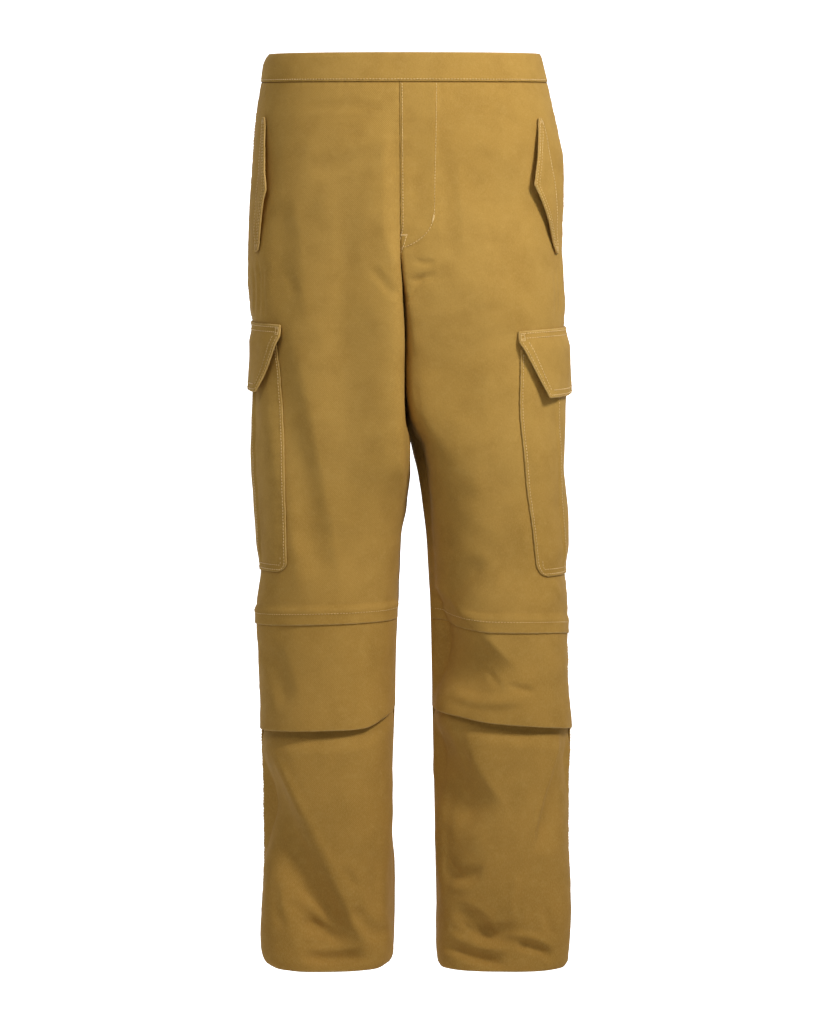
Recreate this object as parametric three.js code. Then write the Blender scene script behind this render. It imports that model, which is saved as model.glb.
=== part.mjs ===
// Cargo trousers in their worn shape, with no wearer: a waistband, two fronts, two backs, knee and
// shin panels, flapped hip pockets and flapped cargo pockets with snaps.
// Millimetres, +Z up. The front faces -Y and the wearer's left is +X. The origin is the middle of
// the waist opening, where the wearer holds the garment up.
import * as THREE from "three";

// Driving dimensions
const OUTSEAM = 1050;
const CROTCH_Z = -300;
const CLOTH = 1.6;
const DOUBLED_CLOTH = 2.4;
const SEAM_GAP = 0.3;
const LAY_GAP = 0.6;
const WAISTBAND = 32;
const WAIST_TILT = 0.135;
const TILT_END_Z = -190;
const FRONT_CURVE_Z = -205;
const BACK_CURVE_Z = -160;
const KNEE_BAND = 15;
const KNEE_FLARE = 2.5;
const SHIN_TUCK = 12;
const BAND_STAND = 0.8;
const POCKET = { topSlope: -0.1, bottomSlope: -0.05, puff: 2.2, round: 14 };
const PLEAT = { front: 0.3, back: 0.7, height: 1.8, edge: 0.035 };
const FLAP = { depth: 76, stand: 12, clip: 31, lift: 5 };
const HIP_FLAP = { lift: 5.5, topWidth: 6 };
const FLY = { width: 43, bottom: -247, round: 42, raise: 1.2, edge: 5 };
const SNAP = { radius: 5.5, clear: 1.2, below: 57 };

const COTTON = { color: 0xa8853f, roughness: 0.9, metalness: 0 };
const METAL = { color: 0xc9c6bf, roughness: 0.3, metalness: 0.9 };

// Down the garment: y of its front, back and side seams, how far its section has turned from half a
// trunk to a leg, how square the leg's outer and inner sides are, and how far the inner one leans
// with y.
const PROFILE = [
  { z: 10, front: -109, back: 111, middle: 0, leg: 0, round: 2.3, square: 3.4, lean: 0 },
  { z: -12, front: -112, back: 114, middle: 0, leg: 0, round: 2.3, square: 3.4, lean: 0 },
  { z: -32, front: -115, back: 117, middle: 0, leg: 0, round: 2.3, square: 3.4, lean: 0 },
  { z: -75, front: -120, back: 127, middle: 1, leg: 0, round: 2.3, square: 3.4, lean: 0 },
  { z: -130, front: -123, back: 137, middle: 2, leg: 0, round: 2.3, square: 3.4, lean: 0 },
  { z: -190, front: -124, back: 142, middle: 2, leg: 0, round: 2.3, square: 3.4, lean: 0 },
  { z: -250, front: -123, back: 138, middle: 1, leg: 0.12, round: 2.3, square: 4, lean: -0.06 },
  { z: -300, front: -119, back: 127, middle: 0, leg: 0.4, round: 2.3, square: 4.4, lean: -0.1 },
  { z: -350, front: -114, back: 113, middle: -1, leg: 0.75, round: 2.3, square: 4.6, lean: -0.12 },
  { z: -400, front: -110, back: 105, middle: -2, leg: 0.95, round: 2.3, square: 4.4, lean: -0.12 },
  { z: -450, front: -106, back: 99, middle: -3, leg: 1, round: 2.3, square: 3.6, lean: -0.1 },
  { z: -520, front: -100, back: 92, middle: -4, leg: 1, round: 2.3, square: 2.6, lean: -0.02 },
  { z: -560, front: -97, back: 87, middle: -5, leg: 1, round: 2.3, square: 2.4, lean: 0 },
  { z: -640, front: -92, back: 76, middle: -7, leg: 1, round: 2.3, square: 2.3, lean: 0 },
  { z: -760, front: -88, back: 71, middle: -8, leg: 1, round: 2.3, square: 2.3, lean: 0 },
  { z: -860, front: -83, back: 68, middle: -8, leg: 1, round: 2.4, square: 2.4, lean: 0 },
  { z: -960, front: -79, back: 65, middle: -8, leg: 1, round: 2.7, square: 2.7, lean: 0 },
  { z: -1050, front: -76, back: 62, middle: -7, leg: 1, round: 3.4, square: 3.4, lean: 0 },
];

// The outer side of each half, x of the silhouette from the waist to the hem.
const OUTER = {
  right: [
    { z: 10, x: -152 },
    { z: 0, x: -158 },
    { z: -12, x: -164 },
    { z: -32, x: -167 },
    { z: -75, x: -174 },
    { z: -130, x: -178.5 },
    { z: -200, x: -182 },
    { z: -290, x: -182 },
    { z: -340, x: -174 },
    { z: -420, x: -171 },
    { z: -520, x: -168.5 },
    { z: -590, x: -167.6 },
    { z: -640, x: -169.5 },
    { z: -760, x: -168 },
    { z: -860, x: -165.5 },
    { z: -1000, x: -164.5 },
    { z: -1050, x: -162 },
  ],
  left: [
    { z: 10, x: 154 },
    { z: 0, x: 156 },
    { z: -12, x: 159 },
    { z: -32, x: 164 },
    { z: -75, x: 173 },
    { z: -130, x: 179 },
    { z: -200, x: 182.5 },
    { z: -290, x: 184.5 },
    { z: -340, x: 178.5 },
    { z: -420, x: 177.5 },
    { z: -520, x: 179 },
    { z: -590, x: 182 },
    { z: -640, x: 187 },
    { z: -760, x: 188.5 },
    { z: -840, x: 189.5 },
    { z: -1000, x: 188.5 },
    { z: -1050, x: 187 },
  ],
};

// The inner side of each half: x of the centre front and centre back seams above the crotch, and of
// the inside of the leg below it.
const INNER = {
  right: [
    { z: 10, front: -6.8, back: 5.9 },
    { z: -130, front: -5.9, back: 3.9 },
    { z: -170, front: -5.7, back: 2.7 },
    { z: -205, front: -5.6, back: 1.3 },
    { z: -260, front: -5, back: -2 },
    { z: -300, front: -4.7, back: -4.7 },
    { z: -360, front: -4.2, back: -4.2 },
    { z: -420, front: -0.6, back: -0.6 },
    { z: -450, front: 3.8, back: 3.8 },
    { z: -480, front: 4, back: 4 },
    { z: -520, front: -1.5, back: -1.5 },
    { z: -560, front: -7, back: -7 },
    { z: -640, front: -9.8, back: -9.8 },
    { z: -760, front: -13, back: -13 },
    { z: -860, front: -16, back: -16 },
    { z: -1050, front: -14.5, back: -14.5 },
  ],
  left: [
    { z: 10, front: -6.5, back: 6.2 },
    { z: -130, front: -5.6, back: 4.2 },
    { z: -170, front: -5.2, back: 3.2 },
    { z: -205, front: -4.5, back: 2.4 },
    { z: -260, front: -3.6, back: -0.6 },
    { z: -300, front: -3.1, back: -3.1 },
    { z: -360, front: -2.6, back: -2.6 },
    { z: -420, front: 1.2, back: 1.2 },
    { z: -450, front: 6.2, back: 6.2 },
    { z: -480, front: 13.5, back: 13.5 },
    { z: -520, front: 19.3, back: 19.3 },
    { z: -560, front: 24, back: 24 },
    { z: -640, front: 28.5, back: 28.5 },
    { z: -760, front: 31, back: 31 },
    { z: -860, front: 33, back: 33 },
    { z: -1050, front: 36.7, back: 36.7 },
  ],
};

// The knee panel's upper and lower edges, across the front from the side seam (0) to the inseam (1).
const KNEE = {
  right: [
    { across: 0, top: -656, bottom: -779 },
    { across: 0.35, top: -658, bottom: -778 },
    { across: 0.7, top: -656, bottom: -776 },
    { across: 0.77, top: -655, bottom: -774 },
    { across: 0.84, top: -654, bottom: -766 },
    { across: 1, top: -650, bottom: -750 },
  ],
  left: [
    { across: 0, top: -669, bottom: -779 },
    { across: 0.3, top: -667, bottom: -775 },
    { across: 0.65, top: -666, bottom: -768.5 },
    { across: 0.8, top: -661, bottom: -761 },
    { across: 1, top: -652, bottom: -752 },
  ],
};

// The largest folds, as lines on the front or back seen square on, in x and z. Each sinks by depth
// in the middle of its line, over far on its left hand side and near on its right hand side, looking
// along the line, and bow bends the line.
const FOLDS = [
  { leg: "right", face: 1, x1: -176, z1: -794, x2: -62, z2: -1020, bow: 0, depth: 11, far: 28, near: 24 },
  { leg: "right", face: 1, x1: -122, z1: -988, x2: -66, z2: -1018, bow: -4, depth: 5, far: 13, near: 14 },
  { leg: "right", face: 1, x1: -136, z1: -340, x2: -82, z2: -612, bow: 3, depth: 5, far: 24, near: 26 },
  { leg: "left", face: 1, x1: 34, z1: -674, x2: 136, z2: -740, bow: -5, depth: 9, far: 24, near: 24 },
  { leg: "left", face: 1, x1: 38, z1: -768, x2: 72, z2: -930, bow: -4, depth: 7, far: 20, near: 18 },
  { leg: "left", face: 1, x1: 190, z1: -774, x2: 144, z2: -916, bow: 0, depth: 7, far: 32, near: 9 },
  { leg: "left", face: 1, x1: 46, z1: -996, x2: 130, z2: -1006, bow: -10, depth: 8, far: 18, near: 15 },
  { leg: "right", face: -1, x1: -124, z1: -592, x2: -16, z2: -558, bow: -8, depth: 6, far: 22, near: 18 },
  { leg: "right", face: -1, x1: -24, z1: -660, x2: -150, z2: -710, bow: 6, depth: 7, far: 20, near: 22 },
  { leg: "right", face: -1, x1: -160, z1: -820, x2: -40, z2: -960, bow: -10, depth: 7, far: 24, near: 18 },
  { leg: "left", face: -1, x1: 142, z1: -596, x2: 36, z2: -562, bow: 8, depth: 6, far: 18, near: 22 },
  { leg: "left", face: -1, x1: 44, z1: -668, x2: 170, z2: -716, bow: -6, depth: 7, far: 22, near: 20 },
  { leg: "left", face: -1, x1: 178, z1: -830, x2: 62, z2: -975, bow: 10, depth: 7, far: 18, near: 24 },
  { leg: "right", face: -1, x1: -30, z1: -318, x2: -130, z2: -352, bow: 6, depth: 5, far: 20, near: 20 },
  { leg: "left", face: -1, x1: 30, z1: -322, x2: 132, z2: -356, bow: -6, depth: 5, far: 20, near: 20 },
];

// Each cargo pocket and its flap: their levels, and the distances round the leg from the side seam to
// their back edges and to the flap's front edge, in front of the seam positive.
const CARGO = {
  right: { top: -331, bottom: -594, backTop: -96, backBottom: -84, flapTop: -310, flapFront: 101 },
  left: { top: -336, bottom: -599, backTop: -70, backBottom: -76, flapTop: -316, flapFront: 119.5 },
};

// Each cargo pocket's front edge, as its distance round the leg from the side seam, down its height.
const POCKET_FRONT = {
  right: [
    { down: 0, distance: 89.5 },
    { down: 0.16, distance: 93 },
    { down: 0.33, distance: 95 },
    { down: 0.67, distance: 92 },
    { down: 1, distance: 88 },
  ],
  left: [
    { down: 0, distance: 115.5 },
    { down: 0.2, distance: 116.5 },
    { down: 0.6, distance: 105.5 },
    { down: 0.75, distance: 97.5 },
    { down: 0.87, distance: 92 },
    { down: 0.96, distance: 88 },
    { down: 1, distance: 86.5 },
  ],
};

// Each hip flap: the levels of its ends and tip, where its sewn edge lies round the body, and how far
// it reaches forward of that at its tip and at its foot.
const HIP_EDGES = {
  right: { topZ: -75, tipZ: -165, bottomZ: -233, sewnTop: 56, sewnBottom: 59, reach: 29.5, foot: 8 },
  left: { topZ: -76, tipZ: -160, bottomZ: -234, sewnTop: 71, sewnBottom: 47, reach: 42, foot: 8 },
};

const TRUNK_POWER = 2.3;
const HALF_STEPS = 72;
const VALLEY = 0.28;
const FOLD_FADE = 0.28;
const NORMAL_STEP = 2;
const SIGN = { right: -1, left: 1 };
const SIDES = ["right", "left"];

const clamp = (value, low, high) => Math.min(high, Math.max(low, value));
const mix = (a, b, t) => a + (b - a) * t;
const smooth = (t) => {
  const c = clamp(t, 0, 1);
  return c * c * (3 - 2 * c);
};
const span = (count) => Array.from({ length: count + 1 }, (_, i) => i / count);

// A named column of a table at a place along its key, through a curve that doesn't overshoot.
function column(table, key, name, at) {
  const way = Math.sign(table[1][key] - table[0][key]);
  const last = table.length - 1;
  if (way * (at - table[0][key]) <= 0) return table[0][name];
  if (way * (at - table[last][key]) >= 0) return table[last][name];
  let i = 0;
  while (way * (at - table[i + 1][key]) > 0) i++;
  const slope = (k) =>
    (table[k + 1][name] - table[k][name]) / (table[k + 1][key] - table[k][key]);
  const tangent = (k) => {
    if (k === 0) return slope(0);
    if (k === last) return slope(last - 1);
    const [a, b] = [slope(k - 1), slope(k)];
    return a * b <= 0 ? 0 : (2 * a * b) / (a + b);
  };
  const width = table[i + 1][key] - table[i][key];
  const t = (at - table[i][key]) / width;
  const [t2, t3] = [t * t, t * t * t];
  return (
    table[i][name] * (2 * t3 - 3 * t2 + 1) +
    tangent(i) * width * (t3 - 2 * t2 + t) +
    table[i + 1][name] * (3 * t2 - 2 * t3) +
    tangent(i + 1) * width * (t3 - t2)
  );
}

// How far the rise has drawn back from the centre front or back toward the crotch at a level, along
// a quarter of an ellipse: not at all at its start, whole at the crotch.
function rise(z, start) {
  const down = clamp((start - z) / (start - CROTCH_Z), 0, 1);
  return 1 - Math.sqrt(1 - down * down);
}

const curved = (value, power) => Math.sign(value) * Math.abs(value) ** (2 / power);

// The point at a share of the way along a line of points.
function along(points, lengths, share) {
  const at = share * lengths[lengths.length - 1];
  let [low, high] = [0, points.length - 1];
  while (high - low > 1) {
    const half = (low + high) >> 1;
    if (lengths[half] <= at) low = half;
    else high = half;
  }
  const t = (at - lengths[low]) / (lengths[high] - lengths[low]);
  return [mix(points[low][0], points[high][0], t), mix(points[low][1], points[high][1], t)];
}

function lengthsOf(points) {
  const lengths = [0];
  for (let i = 1; i < points.length; i++) {
    const step = Math.hypot(points[i][0] - points[i - 1][0], points[i][1] - points[i - 1][1]);
    lengths.push(lengths[i - 1] + step);
  }
  return lengths;
}

// The front (face 1) or back (face -1) of one half's level section, from the side seam to the centre
// seam or inseam. A trunk's runs round a quarter of the body, then straight back along the middle
// plane, and a leg's runs half way round the leg. The section lies between the two, cut off where
// the rise has come to at this level, and drawn in to the seam there.
function panelLine(side, face, z) {
  const at = (name) => column(PROFILE, "z", name, z);
  const outer = column(OUTER[side], "z", "x", z);
  const inner = column(INNER[side], "z", face > 0 ? "front" : "back", z);
  const middle = at("middle");
  const depth = at(face > 0 ? "front" : "back") - middle;
  const trunk = span(HALF_STEPS).map((t) => [
    inner + (outer - inner) * curved(Math.cos((Math.PI / 2) * t), TRUNK_POWER),
    middle + depth * curved(Math.sin((Math.PI / 2) * t), TRUNK_POWER),
  ]);
  const corner = lengthsOf(trunk)[HALF_STEPS];
  trunk.push([inner, middle]);
  const leg = span(HALF_STEPS).map((t) => {
    const c = Math.cos(Math.PI * t);
    const power = at(c < 0 ? "square" : "round");
    const forward = depth * curved(Math.sin(Math.PI * t), power);
    const lean = at("lean") * forward * ((1 - c) / 2) ** 2;
    return [(outer + inner) / 2 + ((outer - inner) / 2) * curved(c, power) + lean, middle + forward];
  });
  const trunkLengths = lengthsOf(trunk);
  const legLengths = lengthsOf(leg);
  const cornerShare = corner / trunkLengths[trunkLengths.length - 1];
  const end = mix(cornerShare, 1, rise(z, face > 0 ? FRONT_CURVE_Z : BACK_CURVE_Z));
  const line = span(HALF_STEPS).map((t) => {
    const a = along(trunk, trunkLengths, t * end);
    const b = along(leg, legLengths, t * end);
    return [mix(a[0], b[0], at("leg")), mix(a[1], b[1], at("leg"))];
  });
  const drawn = z > CROTCH_Z ? inner - line[HALF_STEPS][0] : 0;
  const points = line.map(([x, y], i) => [
    x + drawn * smooth((i / HALF_STEPS - 1 + VALLEY) / VALLEY),
    y,
  ]);
  const lengths = lengthsOf(points);
  return { points, lengths, corner: (lengths[HALF_STEPS] * cornerShare) / end };
}

// One half's level section as the lines of its front and back.
const sections = new Map();
function section(side, z) {
  const key = side + z.toFixed(3);
  if (!sections.has(key)) {
    sections.set(key, new Map([1, -1].map((face) => [face, panelLine(side, face, z)])));
  }
  return sections.get(key);
}

// The length of a half's section from the side seam to the seam that ends the front or back panel.
const reach = (side, face, z) => section(side, z).get(face).lengths[HALF_STEPS];

// A point of a section at a signed distance from the side seam, with the outward direction there.
function onSection(side, z, distance) {
  const face = distance >= 0 ? 1 : -1;
  const { points, lengths } = section(side, z).get(face);
  const share = Math.abs(distance) / lengths[HALF_STEPS];
  const step = 0.5 / HALF_STEPS;
  const [x, y] = along(points, lengths, share);
  const before = along(points, lengths, Math.max(share - step, 0));
  const after = along(points, lengths, Math.min(share + step, 1));
  const [dx, dy] = [after[0] - before[0], after[1] - before[1]];
  const turn = (face * SIGN[side]) / Math.hypot(dx, dy);
  return { x, y, nx: -turn * dy, ny: turn * dx };
}

// How far the folds sink the cloth at a place on the front (face 1) or the back (face -1).
function sunk(side, face, x, z) {
  let total = 0;
  for (const fold of FOLDS) {
    if (fold.leg !== side || fold.face !== face) continue;
    const [dx, dz] = [fold.x2 - fold.x1, fold.z2 - fold.z1];
    const length = Math.hypot(dx, dz);
    const a = ((x - fold.x1) * dx + (z - fold.z1) * dz) / length / length;
    if (a <= 0 || a >= 1) continue;
    const off = ((z - fold.z1) * dx - (x - fold.x1) * dz) / length - 4 * fold.bow * a * (1 - a);
    const q = off > 0 ? off / fold.far : -off / fold.near;
    if (q >= 1) continue;
    const taper = smooth(a / FOLD_FADE) * smooth((1 - a) / FOLD_FADE);
    total += fold.depth * taper * (1 - q * q) ** 2;
  }
  return total;
}

// The fly's extra cloth, from the centre front out to its curved row of stitches, on the left front.
function flyRaise(side, distance, z) {
  if (side === "right" || z < FLY.bottom) return 0;
  const low = clamp((FLY.bottom + FLY.round - z) / FLY.round, 0, 1);
  const width = FLY.width * Math.sqrt(1 - low * low);
  const inside = width - (reach(side, 1, z) - distance);
  return FLY.raise * smooth(inside / FLY.edge + 0.5);
}

// A place on the garment's outer surface: distance round from the side seam, level, and how far out.
function surface(side, distance, z, out) {
  const p = onSection(side, z, distance);
  const lift = out - sunk(side, distance >= 0 ? 1 : -1, p.x, z);
  const y = p.y + p.ny * lift;
  const tilt = WAIST_TILT * smooth((z - TILT_END_Z) / (-WAISTBAND - TILT_END_Z));
  return new THREE.Vector3(p.x + p.nx * lift, y, z + tilt * y);
}

// The outward direction of the surface, by small steps round and down it that stay on one panel.
function outward(side, distance, z) {
  const face = distance >= 0 ? 1 : -1;
  const far = Math.abs(distance);
  const place = (length, level) => {
    const kept = clamp(length, 0, reach(side, face, level));
    return surface(side, face * kept, level, 0);
  };
  const above = z <= CROTCH_Z ? Math.min(z + NORMAL_STEP, CROTCH_Z) : z + NORMAL_STEP;
  const higher = reach(side, face, above) < far - SEAM_GAP ? z : above;
  const lower = z > CROTCH_Z ? Math.max(z - NORMAL_STEP, CROTCH_Z) : z - NORMAL_STEP;
  const round = place(far + NORMAL_STEP, z).sub(place(far - NORMAL_STEP, z));
  const normal = place(far, higher).sub(place(far, lower)).cross(round).normalize();
  const plan = onSection(side, z, distance);
  return normal.x * plan.nx + normal.y * plan.ny < 0 ? normal.negate() : normal;
}

// A closed wall from a grid of places. Each place gives its side, distance, level, how far its outer
// face lies out, and its thickness. A ring's last column joins its first.
function wall(rows, columns, place, ring = false) {
  const positions = [];
  const index = [];
  for (const layer of [0, 1]) {
    for (let r = 0; r < rows.length; r++) {
      for (let c = 0; c < columns.length; c++) {
        const p = place(rows[r], columns[c]);
        const point = surface(p.side, p.distance, p.z, p.out);
        if (layer) point.addScaledVector(outward(p.side, p.distance, p.z), -p.thickness);
        positions.push(point.x, point.y, point.z);
      }
    }
  }
  const [height, width] = [rows.length, columns.length];
  const cells = ring ? width : width - 1;
  const at = (layer, r, c) => (layer * height + r) * width + (c % width);
  const quad = (a, b, c, d) => index.push(a, b, c, a, c, d);
  for (let r = 0; r + 1 < height; r++) {
    for (let c = 0; c < cells; c++) {
      quad(at(0, r, c), at(0, r + 1, c), at(0, r + 1, c + 1), at(0, r, c + 1));
      quad(at(1, r, c), at(1, r, c + 1), at(1, r + 1, c + 1), at(1, r + 1, c));
    }
  }
  for (let r = 0; r + 1 < height && !ring; r++) {
    quad(at(0, r, 0), at(1, r, 0), at(1, r + 1, 0), at(0, r + 1, 0));
    const end = width - 1;
    quad(at(0, r + 1, end), at(1, r + 1, end), at(1, r, end), at(0, r, end));
  }
  for (let c = 0; c < cells; c++) {
    quad(at(0, 0, c + 1), at(1, 0, c + 1), at(1, 0, c), at(0, 0, c));
    const foot = height - 1;
    quad(at(0, foot, c), at(1, foot, c), at(1, foot, c + 1), at(0, foot, c + 1));
  }
  return facingOut(positions, index);
}

// A geometry from points and triangles, turned round where its faces point in.
function facingOut(positions, index) {
  const corner = (i) => new THREE.Vector3().fromArray(positions, 3 * i);
  let volume = 0;
  for (let i = 0; i < index.length; i += 3) {
    volume += corner(index[i]).dot(corner(index[i + 1]).cross(corner(index[i + 2])));
  }
  if (volume < 0) {
    for (let i = 0; i < index.length; i += 3) {
      [index[i + 1], index[i + 2]] = [index[i + 2], index[i + 1]];
    }
  }
  const geometry = new THREE.BufferGeometry();
  geometry.setAttribute("position", new THREE.Float32BufferAttribute(positions, 3));
  geometry.setIndex(index);
  return geometry;
}

const garment = new THREE.Group();
function add(name, geometry, finish) {
  const mesh = new THREE.Mesh(geometry, new THREE.MeshStandardMaterial(finish));
  mesh.name = name;
  garment.add(mesh);
}

// How far round from the side seam a column of a panel lies: columns near the side seam keep to the
// outside of the body, and the last ones follow the rise and the inside of the leg.
function spread(side, face, share, z) {
  const { corner, lengths } = section(side, z).get(face);
  return corner * share + (lengths[HALF_STEPS] - corner) * share ** 3;
}

// A place on a front or back panel, by its share of the way from the side seam to the other seam,
// kept half a seam gap inside the side seam and the inseam.
function onPanel(side, face, share, z, out = 0, thickness = CLOTH) {
  const inset = z > CROTCH_Z ? 0 : SEAM_GAP / 2;
  const whole = reach(side, face, z);
  const distance = face * clamp(spread(side, face, share, z), SEAM_GAP / 2, whole - inset);
  return { side, distance, z, out, thickness };
}

// Levels down a panel through the rise, closer together where the crotch curve runs level.
function riseLevels(start, steps) {
  return span(steps).map((t) => start + (CROTCH_Z - start) * Math.sin((t * Math.PI) / 2));
}

const PANEL_TOP = -WAISTBAND - SEAM_GAP;
const PANEL_COLUMNS = [0, 0.12, 0.24, 0.36, 0.47, 0.57, 0.66, 0.74, 0.81, 0.87, 0.92, 0.96, 1];
const knee = (side, name, share) => column(KNEE[side], "across", name, share);

function upperFront(side) {
  const above = [PANEL_TOP, -55, -85, -120, -160];
  const below = [-304, -314, -332, -355, -382, -410, -440, -470, -500, -532, -565, -598];
  const rows = [...above, ...riseLevels(FRONT_CURVE_Z, 6), ...below].map((z) => ({ z }));
  const bandTop = KNEE_BAND + 7;
  const band = [
    { lift: 0, above: bandTop },
    { lift: 1, above: KNEE_BAND },
    { lift: 1, above: 0 },
  ];
  return wall([...rows, ...band], PANEL_COLUMNS, (row, share) => {
    const z = row.z ?? knee(side, "top", share) + row.above;
    const lift = (row.lift ?? 0) * (CLOTH + SEAM_GAP);
    return onPanel(side, 1, share, z, lift + flyRaise(side, spread(side, 1, share, z), z));
  });
}

function kneePanel(side) {
  return wall(span(8), PANEL_COLUMNS, (down, share) => {
    const top = knee(side, "top", share) + KNEE_BAND - SEAM_GAP - 2;
    const z = mix(top, knee(side, "bottom", share), down);
    const flare = KNEE_FLARE * smooth((down - 0.6) / 0.4) * Math.sin(Math.PI * share) ** 0.5;
    return onPanel(side, 1, share, z, flare);
  });
}

// The shin panel starts behind the knee panel's lower edge and comes out to its level below it.
function shin(side) {
  const tucked = [
    { below: -SHIN_TUCK, sink: 1 },
    { below: 2, sink: 1 },
    { below: 9, sink: 0.7 },
    { below: 17, sink: 0.25 },
    { below: 27, sink: 0 },
  ];
  const plain = span(14)
    .slice(1)
    .map((t) => ({ t }));
  const start = tucked[tucked.length - 1].below;
  const deep = CLOTH + SEAM_GAP + 0.4;
  return wall([...tucked, ...plain], PANEL_COLUMNS, (row, share) => {
    const edge = knee(side, "bottom", share);
    const z = row.t ? mix(edge - start, -OUTSEAM, row.t) : edge - row.below;
    const sink = (row.sink ?? 0) * (deep + 4 * Math.sin(Math.PI * share));
    return onPanel(side, 1, share, z, -sink);
  });
}

function back(side) {
  const above = [PANEL_TOP, -60, -95, -130];
  const below = [-304, -314, -332, -355, -385];
  const legRows = span(19).map((t) => mix(-415, -OUTSEAM, t));
  const rows = [...above, ...riseLevels(BACK_CURVE_Z, 7), ...below, ...legRows];
  return wall(rows, PANEL_COLUMNS, (z, share) => onPanel(side, -1, share, z));
}

// The waistband, a ring from the centre front round by the right side, the back and the left side.
function waistband() {
  const inward = [...PANEL_COLUMNS].reverse();
  const quarters = [
    { side: "right", face: 1, shares: inward },
    { side: "right", face: -1, shares: PANEL_COLUMNS },
    { side: "left", face: -1, shares: inward },
    { side: "left", face: 1, shares: PANEL_COLUMNS },
  ];
  const columns = quarters.flatMap(({ side, face, shares }) =>
    shares.slice(1).map((share) => ({ side, face, share })),
  );
  const rows = [
    { z: 0, out: 0 },
    { z: -4, out: BAND_STAND },
    { z: -WAISTBAND / 2, out: BAND_STAND },
    { z: -WAISTBAND, out: BAND_STAND },
  ];
  const place = ({ z, out }, { side, face, share }) => {
    const distance = face * spread(side, face, share, z);
    return { side, distance, z, out, thickness: DOUBLED_CLOTH };
  };
  return wall(rows, columns, place, true);
}

// The level of a slanted line on a pocket or flap: its front end is lower than its back end.
const slanted = (level, slope, distance) => level + slope * distance;

function pocketOut(across, down) {
  const edge = Math.min(across, 1 - across) * 9;
  const puff = POCKET.puff * smooth(edge) * smooth((1 - down) * 8);
  const inPleat =
    smooth((across - PLEAT.front) / PLEAT.edge + 0.5) *
    smooth((PLEAT.back - across) / PLEAT.edge + 0.5);
  return LAY_GAP + CLOTH + puff + PLEAT.height * inPleat * smooth((1 - down) * 10);
}

// How far the cargo pocket's outline draws in at its rounded lower corners, at a share of its height.
function roundedIn(side, down) {
  const height = CARGO[side].top - CARGO[side].bottom;
  const low = clamp((down * height - height + POCKET.round) / POCKET.round, 0, 1);
  return POCKET.round * (1 - Math.sqrt(1 - low * low)) * 0.9;
}

function pocketPlace(side, down, across, out, thickness) {
  const edges = CARGO[side];
  const front = column(POCKET_FRONT[side], "down", "distance", down) - roundedIn(side, down);
  const rear = mix(edges.backTop, edges.backBottom, down) + roundedIn(side, down);
  const distance = mix(front, rear, across);
  const slope = mix(POCKET.topSlope, POCKET.bottomSlope, down);
  const z = slanted(mix(edges.top, edges.bottom, down), slope, distance);
  return { side, distance, z, out, thickness };
}

function cargoPocket(side) {
  const { front, back: rear, edge } = PLEAT;
  const columns = [
    0, 0.05, 0.13, 0.22, front - edge, front + edge, 0.42, 0.5, 0.58, rear - edge, rear + edge,
    0.78, 0.87, 0.95, 1,
  ];
  const rows = [0, 0.07, 0.18, 0.3, 0.43, 0.56, 0.69, 0.81, 0.9, 0.95, 0.97, 0.99, 1];
  return wall(rows, columns, (down, across) =>
    pocketPlace(side, down, across, pocketOut(across, down), CLOTH),
  );
}

// How far out the flap's inner face lies: on the pocket at its sewn edge, lifted at its free corners.
function flapIn(across, down) {
  const corner = Math.abs(2 * across - 1) ** 2;
  const clear = POCKET.puff + PLEAT.height + LAY_GAP + CLOTH + LAY_GAP;
  return mix(LAY_GAP, clear, smooth(down * 3.2)) + FLAP.lift * down * mix(0.35, 1, corner);
}

function flapPlace(side, down, across, out, thickness) {
  const edges = CARGO[side];
  const drop = down * FLAP.depth;
  const clipped = (FLAP.clip * Math.max(0, drop - FLAP.stand)) / (FLAP.depth - FLAP.stand);
  const front = edges.flapFront - clipped;
  const rear = edges.backTop - 1.5 + clipped;
  const distance = mix(front, rear, across);
  const z = slanted(edges.flapTop - drop, POCKET.topSlope, distance);
  return { side, distance, z, out, thickness };
}

function cargoFlap(side) {
  const rows = [0, FLAP.stand / FLAP.depth, 0.3, 0.48, 0.66, 0.84, 1];
  return wall(rows, span(12), (down, across) =>
    flapPlace(side, down, across, flapIn(across, down) + DOUBLED_CLOTH, DOUBLED_CLOTH),
  );
}

// A flap sewn along its rear edge over the slanted hip pocket, with a point that faces forward.
function hipFlap(side) {
  const edges = HIP_EDGES[side];
  const rows = [0, 0.08, 0.17, 0.26, 0.35, 0.44, 0.51, 0.58, 0.67, 0.77, 0.88, 1];
  const tip = (edges.topZ - edges.tipZ) / (edges.topZ - edges.bottomZ);
  return wall(rows, span(5), (down, across) => {
    const z = mix(edges.topZ, edges.bottomZ, down);
    const toTip = down < tip ? down / tip : (1 - down) / (1 - tip);
    const end = down < tip ? HIP_FLAP.topWidth : edges.foot;
    const forward = mix(end, edges.reach, toTip ** 0.9);
    const distance = mix(edges.sewnTop, edges.sewnBottom, down) + across * forward;
    const stand = LAY_GAP + HIP_FLAP.lift * across * Math.sin(Math.PI * clamp(down, 0.05, 0.95));
    return { side, distance, z, out: stand + DOUBLED_CLOTH, thickness: DOUBLED_CLOTH };
  });
}

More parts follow.
